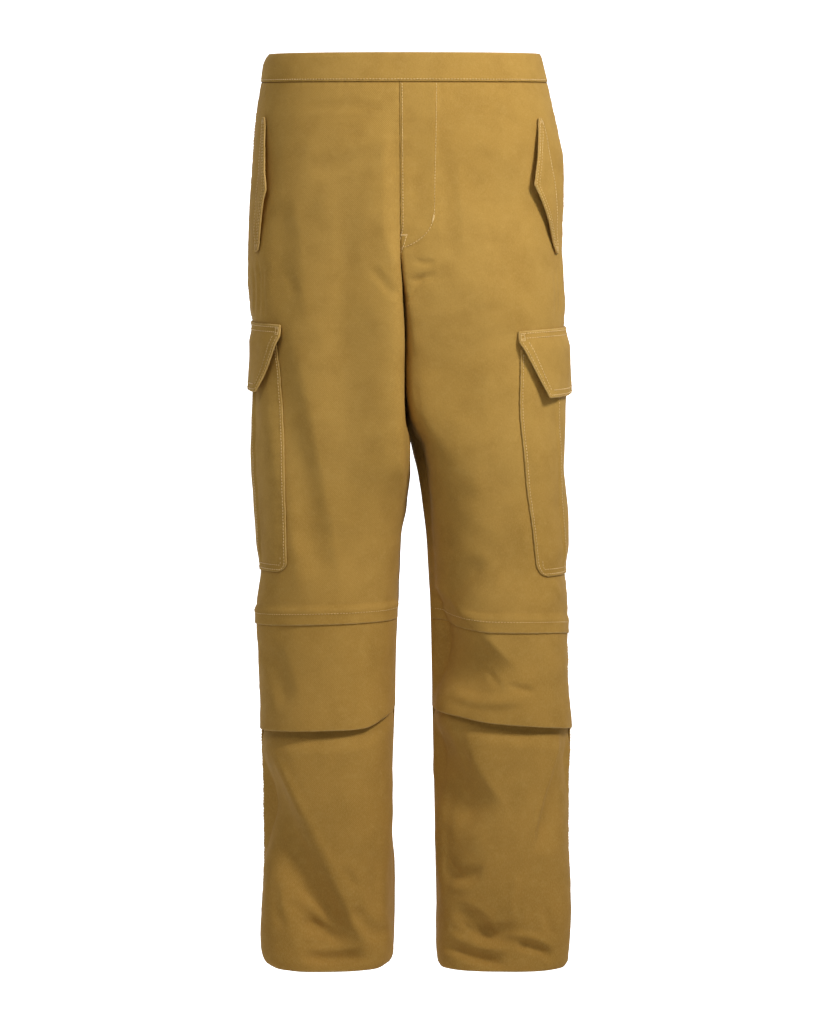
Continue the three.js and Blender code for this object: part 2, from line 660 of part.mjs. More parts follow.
// A closed snap, a stepped round stud that fills the room between the pocket and its flap.
function snap(side, across) {
  const down = SNAP.below / FLAP.depth;
  const spot = flapPlace(side, down, across, 0, 0);
  const top = flapIn(across, down) - SNAP.clear;
  const foot = LAY_GAP + CLOTH + POCKET.puff + SNAP.clear;
  const half = (top - foot) / 2;
  const profile = [
    { radius: 0, level: -1 },
    { radius: 1, level: -1 },
    { radius: 1, level: -0.4 },
    { radius: 0.62, level: -0.2 },
    { radius: 0.62, level: 0.2 },
    { radius: 1, level: 0.4 },
    { radius: 1, level: 1 },
    { radius: 0, level: 1 },
  ].map(({ radius, level }) => new THREE.Vector2(radius * SNAP.radius, level * half));
  const turned = new THREE.LatheGeometry(profile, 12);
  const axis = new THREE.Vector3(0, 1, 0);
  const toward = outward(side, spot.distance, spot.z);
  const centre = surface(side, spot.distance, spot.z, foot + half);
  turned.applyQuaternion(new THREE.Quaternion().setFromUnitVectors(axis, toward));
  turned.translate(centre.x, centre.y, centre.z);
  return turned;
}

add("waistband", waistband(), COTTON);
for (const side of SIDES) {
  add(`front_${side}`, upperFront(side), COTTON);
  add(`back_${side}`, back(side), COTTON);
  add(`knee_${side}`, kneePanel(side), COTTON);
  add(`shin_${side}`, shin(side), COTTON);
  add(`hip_flap_${side}`, hipFlap(side), COTTON);
  add(`cargo_pocket_${side}`, cargoPocket(side), COTTON);
  add(`cargo_flap_${side}`, cargoFlap(side), COTTON);
  add(`snap_${side}_front`, snap(side, 0.09), METAL);
  add(`snap_${side}_rear`, snap(side, 0.91), METAL);
}

export default garment;
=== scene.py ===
# Cargo trousers in their worn shape: the cloth with its folds and seams, the sewing, the snaps and
# a plain studio. Lengths are millimetres until a mesh is made. The front faces -Y, the wearer's left
# is +X, and the origin is the middle of the waist opening.
import math

import bpy
import numpy as np
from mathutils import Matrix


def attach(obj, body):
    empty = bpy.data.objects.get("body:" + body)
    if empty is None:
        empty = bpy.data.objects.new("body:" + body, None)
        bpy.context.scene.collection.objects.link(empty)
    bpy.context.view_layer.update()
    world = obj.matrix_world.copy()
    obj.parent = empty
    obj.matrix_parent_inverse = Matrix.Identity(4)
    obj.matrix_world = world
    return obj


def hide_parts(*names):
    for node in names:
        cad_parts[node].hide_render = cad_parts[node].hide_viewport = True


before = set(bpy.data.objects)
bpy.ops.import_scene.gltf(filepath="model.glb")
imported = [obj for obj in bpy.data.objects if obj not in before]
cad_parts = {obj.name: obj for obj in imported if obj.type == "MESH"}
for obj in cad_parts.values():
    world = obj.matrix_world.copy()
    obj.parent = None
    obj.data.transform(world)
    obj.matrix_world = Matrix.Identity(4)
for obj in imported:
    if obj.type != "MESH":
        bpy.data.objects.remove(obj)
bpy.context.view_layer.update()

MILLIMETRES = 1000.0

# Driving dimensions
OUTSEAM = 1050.0
CROTCH_Z = -300.0
WAISTBAND = 32.0
WAIST_TILT = 0.135
TILT_END_Z = -190.0
FRONT_CURVE_Z = -205.0
BACK_CURVE_Z = -160.0
CLOTH = 1.2
KNEE_CLOTH = 1.6
DOUBLED_CLOTH = 2.2
HEM_CLOTH = 2.2
HEM_DEPTH = 26.0
SEAM_GAP = 0.3
MIDDLE_CLOSE = 0.13
LAY_GAP = 0.6
BAND_STAND = 0.8
KNEE_BAND = 15.0
KNEE_LIFT = 1.9
KNEE_FLARE = 3.5
SEAM_LINE = 1.6
SHIN_TUCK = 12.0
SHIN_DEEP = 2.3
SHIN_HOLLOW = 6.0
POCKET_TOP_SLOPE = -0.1
POCKET_BOTTOM_SLOPE = -0.05
POCKET_CLOTH = 1.6
POCKET_PUFF = 2.2
POCKET_ROUND = 14.0
PLEAT_FRONT = 0.3
PLEAT_BACK = 0.7
PLEAT_HEIGHT = 1.8
POCKET_WIDTH = 185.0
POCKET_HEIGHT = 263.0
FLAP_DEPTH = 76.0
FLAP_STAND = 12.0
FLAP_CLIP = 31.0
FLAP_LIFT = 8.0
HIP_LIFT = 7.5
HIP_TOP_WIDTH = 6.0
HIP_HEIGHT = 158.0
FLY_WIDTH = 43.0
FLY_BOTTOM = -236.0
FLY_ROUND = 44.0
FLY_TAPER = 0.02
FLY_RAISE = 1.2
SNAP_RADIUS = 5.5
SNAP_CLEAR = 1.2
SNAP_BELOW = 57.0
SNAP_SEGMENTS = 28
SNAP_PROFILE = (
    (0.01, -1.0), (0.9, -1.0), (0.99, -0.88), (1.0, -0.7), (0.96, -0.45), (0.7, -0.3),
    (0.62, -0.2), (0.62, 0.2), (0.72, 0.3), (0.97, 0.42), (1.0, 0.6), (0.98, 0.85),
    (0.88, 1.0), (0.01, 1.0),
)

FRONT_CELL = 3.2
BACK_CELL = 4.2
SMALL_CELL = 2.2
EDGE_CELL = 1.2

SIDES = ("right", "left")
SIGN = {"right": -1, "left": 1}

# Down the garment: y of its front, back and side seams, how far its section has turned from half a
# trunk to a leg, how square the leg's outer and inner sides are, and how far the inner one leans
# with y.
PROFILE_COLUMNS = ("z", "front", "back", "middle", "leg", "round", "square", "lean")
PROFILE = [
    (10, -109, 111, 0, 0, 2.3, 3.4, 0),
    (-12, -112, 114, 0, 0, 2.3, 3.4, 0),
    (-32, -115, 117, 0, 0, 2.3, 3.4, 0),
    (-75, -120, 127, 1, 0, 2.3, 3.4, 0),
    (-130, -123, 137, 2, 0, 2.3, 3.4, 0),
    (-190, -124, 142, 2, 0, 2.3, 3.4, 0),
    (-250, -123, 138, 1, 0.12, 2.3, 4, -0.06),
    (-300, -119, 127, 0, 0.4, 2.3, 4.4, -0.1),
    (-350, -114, 113, -1, 0.75, 2.3, 4.6, -0.12),
    (-400, -110, 105, -2, 0.95, 2.3, 4.4, -0.12),
    (-450, -106, 99, -3, 1, 2.3, 3.6, -0.1),
    (-520, -100, 92, -4, 1, 2.3, 2.6, -0.02),
    (-560, -97, 87, -5, 1, 2.3, 2.4, 0),
    (-640, -92, 76, -7, 1, 2.3, 2.3, 0),
    (-760, -88, 71, -8, 1, 2.3, 2.3, 0),
    (-860, -83, 68, -8, 1, 2.4, 2.4, 0),
    (-960, -79, 65, -8, 1, 2.7, 2.7, 0),
    (-1050, -76, 62, -7, 1, 3.4, 3.4, 0),
]

# The outer side of each half, x of the silhouette from the waist to the hem.
OUTER_COLUMNS = ("z", "x")
OUTER = {
    "right": [
        (10, -152), (0, -158), (-12, -164), (-32, -167), (-75, -174), (-130, -178.5), (-200, -182),
        (-290, -182), (-340, -174), (-420, -171), (-520, -168.5), (-590, -167.6), (-640, -169.5),
        (-760, -168), (-860, -165.5), (-1000, -164.5), (-1050, -162),
    ],
    "left": [
        (10, 154), (0, 156), (-12, 159), (-32, 164), (-75, 173), (-130, 179), (-200, 182.5),
        (-290, 184.5), (-340, 178.5), (-420, 177.5), (-520, 179), (-590, 182), (-640, 187),
        (-760, 188.5), (-840, 189.5), (-1000, 188.5), (-1050, 187),
    ],
}

# The inner side of each half: x of the centre front and centre back seams above the crotch, and of
# the inside of the leg below it.
INNER_COLUMNS = ("z", "front", "back")
INNER = {
    "right": [
        (10, -6.8, 5.9), (-130, -5.9, 3.9), (-170, -5.7, 2.7), (-205, -5.6, 1.3), (-260, -5, -2),
        (-300, -4.7, -4.7), (-360, -4.2, -4.2), (-420, -0.6, -0.6), (-450, 3.8, 3.8),
        (-480, 4, 4), (-520, -1.5, -1.5), (-560, -7, -7), (-640, -9.8, -9.8), (-760, -13, -13),
        (-860, -16, -16), (-1050, -14.5, -14.5),
    ],
    "left": [
        (10, -6.5, 6.2), (-130, -5.6, 4.2), (-170, -5.4, 3.1), (-205, -5.2, 1.7), (-260, -4.6, -1.6),
        (-300, -4.3, -4.3), (-360, -3.8, -3.8), (-420, -0.1, -0.1), (-438, 3.6, 3.6),
        (-450, 8, 8), (-480, 14, 14), (-520, 19.3, 19.3), (-560, 24, 24), (-640, 28.5, 28.5),
        (-760, 31, 31), (-860, 33, 33), (-1050, 36.7, 36.7),
    ],
}

# The knee panel's upper and lower edges, across the front from the side seam (0) to the inseam (1).
KNEE_COLUMNS = ("across", "top", "bottom")
KNEE = {
    "right": [
        (0, -656, -779), (0.35, -658, -778), (0.7, -656, -776), (0.77, -655, -774),
        (0.84, -654, -766), (1, -650, -750),
    ],
    "left": [
        (0, -669, -779), (0.3, -667, -775), (0.65, -666, -768.5), (0.8, -661, -761),
        (1, -652, -752),
    ],
}

# Each cargo pocket and its flap: their levels, and the distances round the leg from the side seam to
# their back edges and to the flap's front edge, in front of the seam positive.
CARGO = {
    "right": {
        "top": -331, "bottom": -594, "back_top": -96, "back_bottom": -84,
        "flap_top": -310, "flap_front": 101,
    },
    "left": {
        "top": -336, "bottom": -599, "back_top": -70, "back_bottom": -76,
        "flap_top": -316, "flap_front": 119.5,
    },
}

# Each cargo pocket's front edge, as its distance round the leg from the side seam, down its height.
POCKET_FRONT_COLUMNS = ("down", "distance")
POCKET_FRONT = {
    "right": [(0, 89.5), (0.16, 93), (0.33, 95), (0.67, 92), (1, 88)],
    "left": [
        (0, 115.5), (0.2, 116.5), (0.6, 105.5), (0.75, 97.5), (0.87, 92), (0.96, 88), (1, 86.5),
    ],
}

# Each hip flap: the levels of its ends and tip, where its sewn edge lies round the body, and how far
# it reaches forward of that at its tip and at its foot.
HIP_EDGES = {
    "right": {
        "top": -75, "tip": -165, "bottom": -233, "sewn_top": 56, "sewn_bottom": 59,
        "reach": 29.5, "foot": 8,
    },
    "left": {
        "top": -76, "tip": -160, "bottom": -234, "sewn_top": 71, "sewn_bottom": 47,
        "reach": 42, "foot": 8,
    },
}

# Folds and creases of each leg's front (1) and back (-1), the largest first, as lines seen square
# on. Each sinks by depth, or stands out where that is negative, over far on its left hand side and
# near on its right hand side, looking along the line. Bow bends the line, sharp runs from 0, a soft
# trough, to 1, a pressed one, and rim from 0, where the fold dies away softly, to 1, where its far
# border is a pressed ridge, or to -1, where its near border is. Each row holds
# x1, z1, x2, z2, bow, depth, far, near, sharp, rim.
FOLDS = {
    ("right", 1): [
        (-189, -794, -54, -1061, 0, 19, 26, 46, 0, 0.9),
        (-122, -988, -66, -1018, -4, 3.5, 13, 14, 0.2, 0),
        (-151, -330, -92, -640, 3, 6, 24, 26, 0, 0.3),
        (-20, -60, -8, -590, 0, -10, 14, 60, 0, 0),
        (-145, -178, -132, -330, 1, 3, 24, 22, 0, 0),
        (-162, -675, -136, -759, 5, 4, 20, 14, 0.2, 0),
        (-160, -783, -61, -970, -1, -1.8, 10, 8, 0.6, 0),
        (-137, -960, -83, -1002, 3, -4, 9, 12, 0.1, 0),
        (-128, -995, -76, -1020, 6, 2, 9, 10, 0.1, 0),
        (-119, -1014, -79, -1022, 3, -2.2, 6, 6, 0.2, 0),
        (-122, -1034, -38, -1032, -6, 8, 13, 6, 0, 0.3),
        (-67, -932, -52, -957, -3, 2, 7, 7, 0.2, 0),
        (-61, -974, -18, -1018, -5, 5.5, 13, 13, 0.1, 0.5),
        (-155, -945, -137, -1008, -1, 2.2, 9, 10, 0, 0),
        (-38, -906, -36, -996, 4, 2.4, 12, 12, 0, 0),
        (-162, -603, -162, -629, 7, -1.6, 8, 8, 0.4, 0),
        (-135, -255, -123, -291, 0, 1, 10, 10, 0, 0),
        (-176, -243, -175, -311, 2, 1.6, 3, 3, 0.4, 0),
        (-169, -236, -168, -313, 2, 1.8, 3, 3, 0.4, 0),
        (-163, -248, -161, -313, 1, 1.2, 4, 3, 0.3, 0),
        (-110, -150, -20, -118, 0, 1.6, 18, 18, 0, 0),
        (-124, -66, -16, -66, 4, 1, 10, 10, 0, 0),
        (-10, -292, -40, -256, 0, 1.6, 9, 10, 0.2, 0),
    ],
    ("left", 1): [
        (-20, -628, 106, -745, 0, 19, 42, 60, 0, 0.9),
        (4, -770, 96, -895, 0, 14, 32, 40, 0, 0.6),
        (192, -774, 146, -920, 0, 9, 34, 9, 0.1, -0.9),
        (46, -996, 130, -1006, -10, 10, 18, 15, 0.1, 0.5),
        (-2, -240, 24, -740, 2, 8, 84, 20, 0.6, 0.3),
        (30, -641, 91, -580, 0, 5, 20, 16, 0.1, -0.5),
        (34, -643, 97, -684, 7, 2.6, 12, 16, 0.2, 0),
        (91, -706, 109, -731, -1, 1.6, 6, 7, 0.2, 0),
        (113, -724, 147, -733, -1, 1.8, 6, 7, 0.3, 0),
        (36, -733, 145, -739, -9, -3, 12, 10, 0.2, 0),
        (184, -780, 138, -922, 0, -2.6, 6, 8, 0.6, 0),
        (57, -767, 75, -828, -6, 3.6, 12, 10, 0.2, 0.4),
        (38, -800, 50, -985, 0, 7, 44, 10, 0.4, 0),
        (39, -930, 91, -932, -11, 5.5, 12, 13, 0.1, 0.4),
        (43, -957, 77, -952, -4, -2, 8, 8, 0.1, 0),
        (52, -977, 104, -1018, 8, 7.5, 9, 13, 0.1, -0.7),
        (50, -991, 86, -1018, -3, -3.4, 8, 9, 0.3, 0),
        (36, -1022, 118, -1044, -3, 9, 17, 6, 0, 0.3),
        (120, -1021, 170, -1040, 6, 6, 9, 8, 0.1, 0.8),
        (91, -1018, 170, -1026, 12, -3, 8, 6, 0.4, 0),
        (126, -936, 119, -1000, -1, -1.6, 8, 8, 0.4, 0),
        (158, -974, 174, -1019, -3, 2.4, 8, 10, 0.1, 0),
        (93, -828, 152, -819, 0, 1, 14, 14, 0, 0),
        (165, -608, 182, -633, 1, -1.8, 7, 8, 0.5, 0),
        (170, -248, 171, -315, 2, 1.4, 3, 4, 0.4, 0),
        (175, -243, 176, -313, 1, 1.2, 3, 3, 0.4, 0),
        (44, -110, 52, -262, 0, 1.6, 16, 14, 0, 0),
        (8, -248, 34, -250, -3, 1.8, 6, 8, 0.3, 0),
        (2, -272, 36, -262, -2, 2.2, 7, 8, 0.4, 0),
        (-2, -298, 22, -262, 0, 2.4, 8, 7, 0.4, 0),
        (120, -300, 96, -560, 0, 1.4, 26, 24, 0, 0),
    ],
    ("right", -1): [
        (-124, -592, -16, -558, -8, 9, 26, 18, 0.2, 0.6),
        (-24, -660, -150, -710, 6, 10, 20, 28, 0.2, -0.7),
        (-160, -820, -40, -980, -6, 12, 28, 34, 0.2, 0.8),
        (-30, -318, -130, -352, 6, 5, 20, 20, 0.1, 0),
        (-18, -300, -104, -392, 8, 2.4, 14, 16, 0.2, 0),
        (-150, -402, -60, -436, 4, 1.8, 22, 22, 0, 0),
        (-120, -60, -30, -84, 0, 1.4, 14, 14, 0, 0),
        (-150, -640, -50, -622, -5, 3, 12, 12, 0.3, 0),
        (-30, -735, -132, -778, 5, 2.6, 14, 14, 0.2, 0),
        (-150, -1000, -46, -1024, 4, 3.4, 10, 12, 0.2, 0),
    ],
    ("left", -1): [
        (142, -596, 36, -562, 8, 9, 18, 24, 0.2, -0.6),
        (44, -668, 170, -716, -6, 10, 28, 20, 0.2, 0.7),
        (178, -830, 62, -990, 6, 12, 34, 28, 0.2, -0.8),
        (30, -322, 132, -356, -6, 5, 20, 20, 0.1, 0),
        (18, -300, 108, -398, -8, 2.4, 16, 14, 0.2, 0),
        (152, -410, 64, -442, -4, 1.8, 22, 22, 0, 0),
        (128, -66, 34, -90, 0, 1.2, 14, 14, 0, 0),
        (162, -650, 70, -628, 5, 3, 12, 12, 0.3, 0),
        (50, -742, 150, -790, -5, 2.6, 14, 14, 0.2, 0),
        (60, -1006, 172, -1026, -4, 3.4, 12, 10, 0.2, 0),
    ],
}
# The share of a fold's length over which its ends fade, and how far from the side seam and from the
# inseam all folds do.
FOLD_FADE = 0.28
SIDE_SEAM_FADE = 16.0
INSEAM_FADE = 21.0

# Soft unevenness of the cloth, calm at the waist: each row is a set of slow waves, with their
# shortest and longest length, their height and their count.
WAVES = [(150, 260, 1.3, 9), (60, 110, 0.5, 14), (24, 42, 0.16, 20)]
WAVE_SEED = 41
WAIST_CALM = 0.25
CALM_DEPTH = 30.0
CALM_RUN = 90.0

# The levels between which the legs press on each other: where that starts, is full, is last full and
# ends. Their inner sides are so many times squarer there.
MEETING = (-190, -240, -400, -520)
MEETING_SQUARE = {"right": 2.4, "left": 1.7}

# Each hem's rounded corners: how high they start and how far they draw in.
HEM_ROUND = {"right": (20, 11), "left": (9, 3.5)}

# The trunk's roundness, the share of a half over which it closes on the middle seam, and how finely
# sections and levels are worked out.
TRUNK_POWER = 2.3
VALLEY = 0.28
HALF_STEPS = 200
SHARES = 161
LEVEL_STEP = 3.0
TOP_LEVEL = 12.0
SPARE_LEVELS = 6.0
CURVE_LEVELS = 50
SHARE_ROUNDS = 6


def mix(a, b, t):
    return a + (b - a) * t


def smooth(t):
    c = np.clip(t, 0.0, 1.0)
    return c * c * (3.0 - 2.0 * c)


def column(table, columns, name, at):
    """A named column of a table along its first column, by a curve that doesn't overshoot."""
    keys = np.array([row[0] for row in table], float)
    values = np.array([row[columns.index(name)] for row in table], float)
    if keys[0] > keys[-1]:
        keys = keys[::-1]
        values = values[::-1]
    at = np.clip(at, keys[0], keys[-1])
    slopes = np.diff(values) / np.diff(keys)
    product = slopes[:-1] * slopes[1:]
    total = slopes[:-1] + slopes[1:]
    turning = np.where(product > 0, 2 * product / np.where(product > 0, total, 1), 0)
    tangents = np.concatenate([slopes[:1], turning, slopes[-1:]])
    i = np.clip(np.searchsorted(keys, at, side="right") - 1, 0, len(keys) - 2)
    width = keys[i + 1] - keys[i]
    t = (at - keys[i]) / width
    low = values[i] * (2 * t**3 - 3 * t**2 + 1) + tangents[i] * width * (t**3 - 2 * t**2 + t)
    high = values[i + 1] * (3 * t**2 - 2 * t**3) + tangents[i + 1] * width * (t**3 - t**2)
    return low + high


def curved(value, power):
    return np.sign(value) * np.abs(value) ** (2 / power)


def rise(z, start):
    """How far the rise has drawn back toward the crotch at a level, along a quarter of an ellipse."""
    down = np.clip((start - z) / (start - CROTCH_Z), 0, 1)
    return 1 - np.sqrt(1 - down * down)


def lengths_of(points):
    steps = np.linalg.norm(np.diff(points, axis=0), axis=1)
    return np.concatenate([[0], np.cumsum(steps)])


def along(points, shares):
    """Points at shares of the way along a line of points."""
    lengths = lengths_of(points)
    at = shares * lengths[-1]
    return np.stack([np.interp(at, lengths, points[:, i]) for i in (0, 1)], axis=-1)


def section_line(side, face, z):
    """The front (face 1) or back (face -1) of one half's level section, from the side seam inward."""
    at = {name: float(column(PROFILE, PROFILE_COLUMNS, name, z)) for name in PROFILE_COLUMNS[1:]}
    outer = float(column(OUTER[side], OUTER_COLUMNS, "x", z))
    end_name = "front" if face > 0 else "back"
    inner = float(column(INNER[side], INNER_COLUMNS, end_name, z)) - MIDDLE_CLOSE * SIGN[side]
    high, low = HEM_ROUND[side]
    near_hem = np.clip((high - OUTSEAM - z) / high, 0, 1)
    drawn = low * (1 - math.sqrt(1 - near_hem**2)) * SIGN[side]
    outer -= drawn
    inner += drawn
    start, full, last, stop = MEETING
    pressed = smooth((start - z) / (start - full)) * smooth((z - stop) / (last - stop))
    square = at["square"] * mix(1, MEETING_SQUARE[side], pressed)
    middle = at["middle"]
    depth = at[end_name] - middle
    t = np.linspace(0, 1, HALF_STEPS + 1)
    quarter_x = inner + (outer - inner) * curved(np.cos(math.pi / 2 * t), TRUNK_POWER)
    quarter_y = middle + depth * curved(np.sin(math.pi / 2 * t), TRUNK_POWER)
    quarter = np.stack([quarter_x, quarter_y], axis=-1)
    trunk = np.concatenate([quarter, [[inner, middle]]])
    turn = np.cos(math.pi * t)
    power = np.where(turn < 0, square, at["round"])
    forward = depth * curved(np.sin(math.pi * t), power)
    lean = at["lean"] * (1 - pressed) * forward * ((1 - turn) / 2) ** 2
    leg_x = (outer + inner) / 2 + (outer - inner) / 2 * curved(turn, power) + lean
    leg = np.stack([leg_x, middle + forward], axis=-1)
    corner_share = lengths_of(quarter)[-1] / lengths_of(trunk)[-1]
    end = mix(corner_share, 1, rise(z, FRONT_CURVE_Z if face > 0 else BACK_CURVE_Z))
    line = mix(along(trunk, t * end), along(leg, t * end), at["leg"])
    short = inner - line[-1, 0] if z > CROTCH_Z else 0
    line[:, 0] += short * smooth((t - 1 + VALLEY) / VALLEY)
    length = lengths_of(line)[-1]
    return line, length, length * corner_share / end


def all_levels():
    """Levels at which the sections are worked out, closer where the rise curves back."""
    plain = np.arange(TOP_LEVEL, -OUTSEAM - SPARE_LEVELS, -LEVEL_STEP)
    quarter = np.sin(np.linspace(0, math.pi / 2, CURVE_LEVELS))
    curves = [start + (CROTCH_Z - start) * quarter for start in (FRONT_CURVE_Z, BACK_CURVE_Z)]
    return np.unique(np.concatenate([plain, *curves]).round(4))


LEVELS = all_levels()


def spread(corner, length, share):
    """How far round from the side seam a share of a panel lies."""
    return corner * share + (length - corner) * share**3


def base_surface(side, face):
    """The panel's points and outward directions at every level and share, with its lengths."""
    shares = np.linspace(0, 1, SHARES)
    points = []
    lengths = []
    corners = []
    for z in LEVELS:
        line, length, corner = section_line(side, face, z)
        points.append(along(line, spread(corner, length, shares) / length))
        lengths.append(length)
        corners.append(corner)
    points = np.array(points)
    tangent = np.gradient(points, axis=1)
    tangent /= np.linalg.norm(tangent, axis=2, keepdims=True)
    turn = face * SIGN[side]
    outward = np.stack([-turn * tangent[..., 1], turn * tangent[..., 0]], axis=-1)
    return np.concatenate([points, outward], axis=2), np.array(lengths), np.array(corners)


BASE = {(side, face): base_surface(side, face) for side in SIDES for face in (1, -1)}


def level_at(z):
    i = np.clip(np.searchsorted(LEVELS, z, side="right") - 1, 0, len(LEVELS) - 2)
    return i, np.clip((z - LEVELS[i]) / (LEVELS[i + 1] - LEVELS[i]), 0, 1)


def measures(side, face, z):
    """The length and corner of a panel's section at levels."""
    i, f = level_at(z)
    _, lengths, corners = BASE[side, face]
    return mix(lengths[i], lengths[i + 1], f), mix(corners[i], corners[i + 1], f)


def lookup(side, face, z, share):
    """x, y and the outward direction of a panel at levels and shares."""
    table = BASE[side, face][0]
    i, f = level_at(z)
    k = np.clip(share, 0, 1) * (SHARES - 1)
    j = np.clip(k.astype(int), 0, SHARES - 2)
    g = (k - j)[..., None]
    f = f[..., None]
    lower = mix(table[i, j], table[i, j + 1], g)
    upper = mix(table[i + 1, j], table[i + 1, j + 1], g)
    return mix(lower, upper, f)


def share_at(side, face, z, distance):
    """The share of a panel that lies a distance round from the side seam."""
    length, corner = measures(side, face, z)
    share = np.clip(distance / length, 0, 1)
    for _ in range(SHARE_ROUNDS):
        slope = corner + 3 * (length - corner) * share**2
        share = np.clip(share - (spread(corner, length, share) - distance) / slope, 0, 1)
    return share


def fold_depth(side, face, x, z):
    """How far folds and creases sink the cloth at places on the front or back."""
    total = np.zeros_like(x)
    for x1, z1, x2, z2, bow, depth, far, near, sharp, rim in FOLDS[side, face]:
        dx = x2 - x1
        dz = z2 - z1
        length = math.hypot(dx, dz)
        a = ((x - x1) * dx + (z - z1) * dz) / length**2
        off = ((z - z1) * dx - (x - x1) * dz) / length - 4 * bow * a * (1 - a)
        q = np.clip(np.where(off > 0, off / far, -off / near), 0, 1)
        taper = smooth(a / FOLD_FADE) * smooth((1 - a) / FOLD_FADE)
        trough = mix((1 - q * q) ** 2, (1 - q) ** 2, sharp)
        ridged = np.clip(np.sign(off) * rim, 0, 1)
        total += depth * taper * mix(trough, 1 - q * q, ridged)
    return total


def make_waves():
    """Slow waves in all directions for each leg, seeded so that every run gives the same ones."""
    rng = np.random.default_rng(WAVE_SEED)
    waves = {}
    for side in SIDES:
        rows = []
        for shortest, longest, height, count in WAVES:
            for _ in range(count):
                pitch = rng.uniform(shortest, longest)
                angle = rng.uniform(0, math.pi)
                phase = rng.uniform(0, 2 * math.pi)
                strength = height * math.sqrt(2 / count)
                rows.append((math.cos(angle) / pitch, math.sin(angle) / pitch, phase, strength))
        waves[side] = rows
    return waves


CLOTH_WAVES = make_waves()


def unevenness(side, distance, z):
    """How far the slow waves lift the cloth at places round and down a leg."""
    total = np.zeros_like(distance)
    for across, down, phase, strength in CLOTH_WAVES[side]:
        total += strength * np.sin(2 * math.pi * (across * distance + down * z) + phase)
    return total * mix(WAIST_CALM, 1, smooth((-z - CALM_DEPTH) / CALM_RUN))


def surface_at(side, face, z, share, out):
    """Points of the garment's outer surface, and the outward direction in plan."""
    base = lookup(side, face, z, share)
    length, corner = measures(side, face, z)
    distance = spread(corner, length, share)
    seam_fade = smooth((length - distance) / INSEAM_FADE)
    fold_fade = smooth(distance / SIDE_SEAM_FADE) * seam_fade
    lift = out - fold_depth(side, face, base[..., 0], z) * fold_fade
    lift = lift + unevenness(side, face * distance, z) * seam_fade
    x = base[..., 0] + base[..., 2] * lift
    y = base[..., 1] + base[..., 3] * lift
    tilt = WAIST_TILT * smooth((z - TILT_END_Z) / (-WAISTBAND - TILT_END_Z))
    return np.stack([x, y, z + tilt * y], axis=-1), base[..., 2:]


def around(side, z, distance, out):
    """Points at signed distances from the side seam, in front of it positive."""
    ahead = distance >= 0
    parts = []
    for face in (1, -1):
        share = share_at(side, face, z, np.maximum(face * distance, 0))
        parts.append(surface_at(side, face, z, share, out))
    points = np.where(ahead[..., None], parts[0][0], parts[1][0])
    outward = np.where(ahead[..., None], parts[0][1], parts[1][1])
    return points, outward


def paces(length, cell):
    """Shares along a length in even cells, with one narrow cell at each end."""
    count = max(2, round((length - 2 * EDGE_CELL) / cell))
    inner = np.linspace(EDGE_CELL / length, 1 - EDGE_CELL / length, count + 1)
    return np.concatenate([[0], inner, [1]])


LEAST_LENGTH = 1e-9


def unit(vectors):
    return vectors / np.maximum(np.linalg.norm(vectors, axis=-1, keepdims=True), LEAST_LENGTH)


def grid_normals(points, hint, ring):
    """Directions square to a grid of points, on the side that the hints point to."""
    if ring:
        across = np.roll(points, -1, axis=1) - np.roll(points, 1, axis=1)
    else:
        across = np.gradient(points, axis=1)
    normals = unit(np.cross(across, np.gradient(points, axis=0)))
    agreement = (normals[..., :2] * hint).sum()
    return normals if agreement > 0 else -normals


def perimeters(rows, columns, ring):
    """The border of a grid as one loop of places, or as an upper and a lower loop of a ring."""
    top = [(0, c) for c in range(columns)]
    foot = [(rows - 1, c) for c in range(columns)]
    if ring:
        return [top, foot[::-1]]
    end = [(r, columns - 1) for r in range(1, rows - 1)]
    start = [(r, 0) for r in range(1, rows - 1)]
    return [top + end + foot[::-1] + start[::-1]]


def flat_cut(uv):
    """The width and length in metres of a piece's flat pattern, and its area in square metres."""
    size = np.ptp(uv.reshape(-1, 2), axis=0) / MILLIMETRES
    one = uv[1:, 1:] - uv[:-1, :-1]
    other = uv[:-1, 1:] - uv[1:, :-1]
    doubled = np.abs(one[..., 0] * other[..., 1] - one[..., 1] * other[..., 0]).sum()
    return size.tolist(), min(doubled / 2 / MILLIMETRES**2, float(size.prod()))


# A wall's rim: how far it bulges past the cloth for each millimetre of thickness, and how rubbed
# it is, at its free borders and at its sewn ones; and the least painted seam shade that is laid on.
FREE_BULGE = 0.48
SEWN_BULGE = 0.05
SEWN_WEAR = 0.25
LEAST_SHADE = 0.01


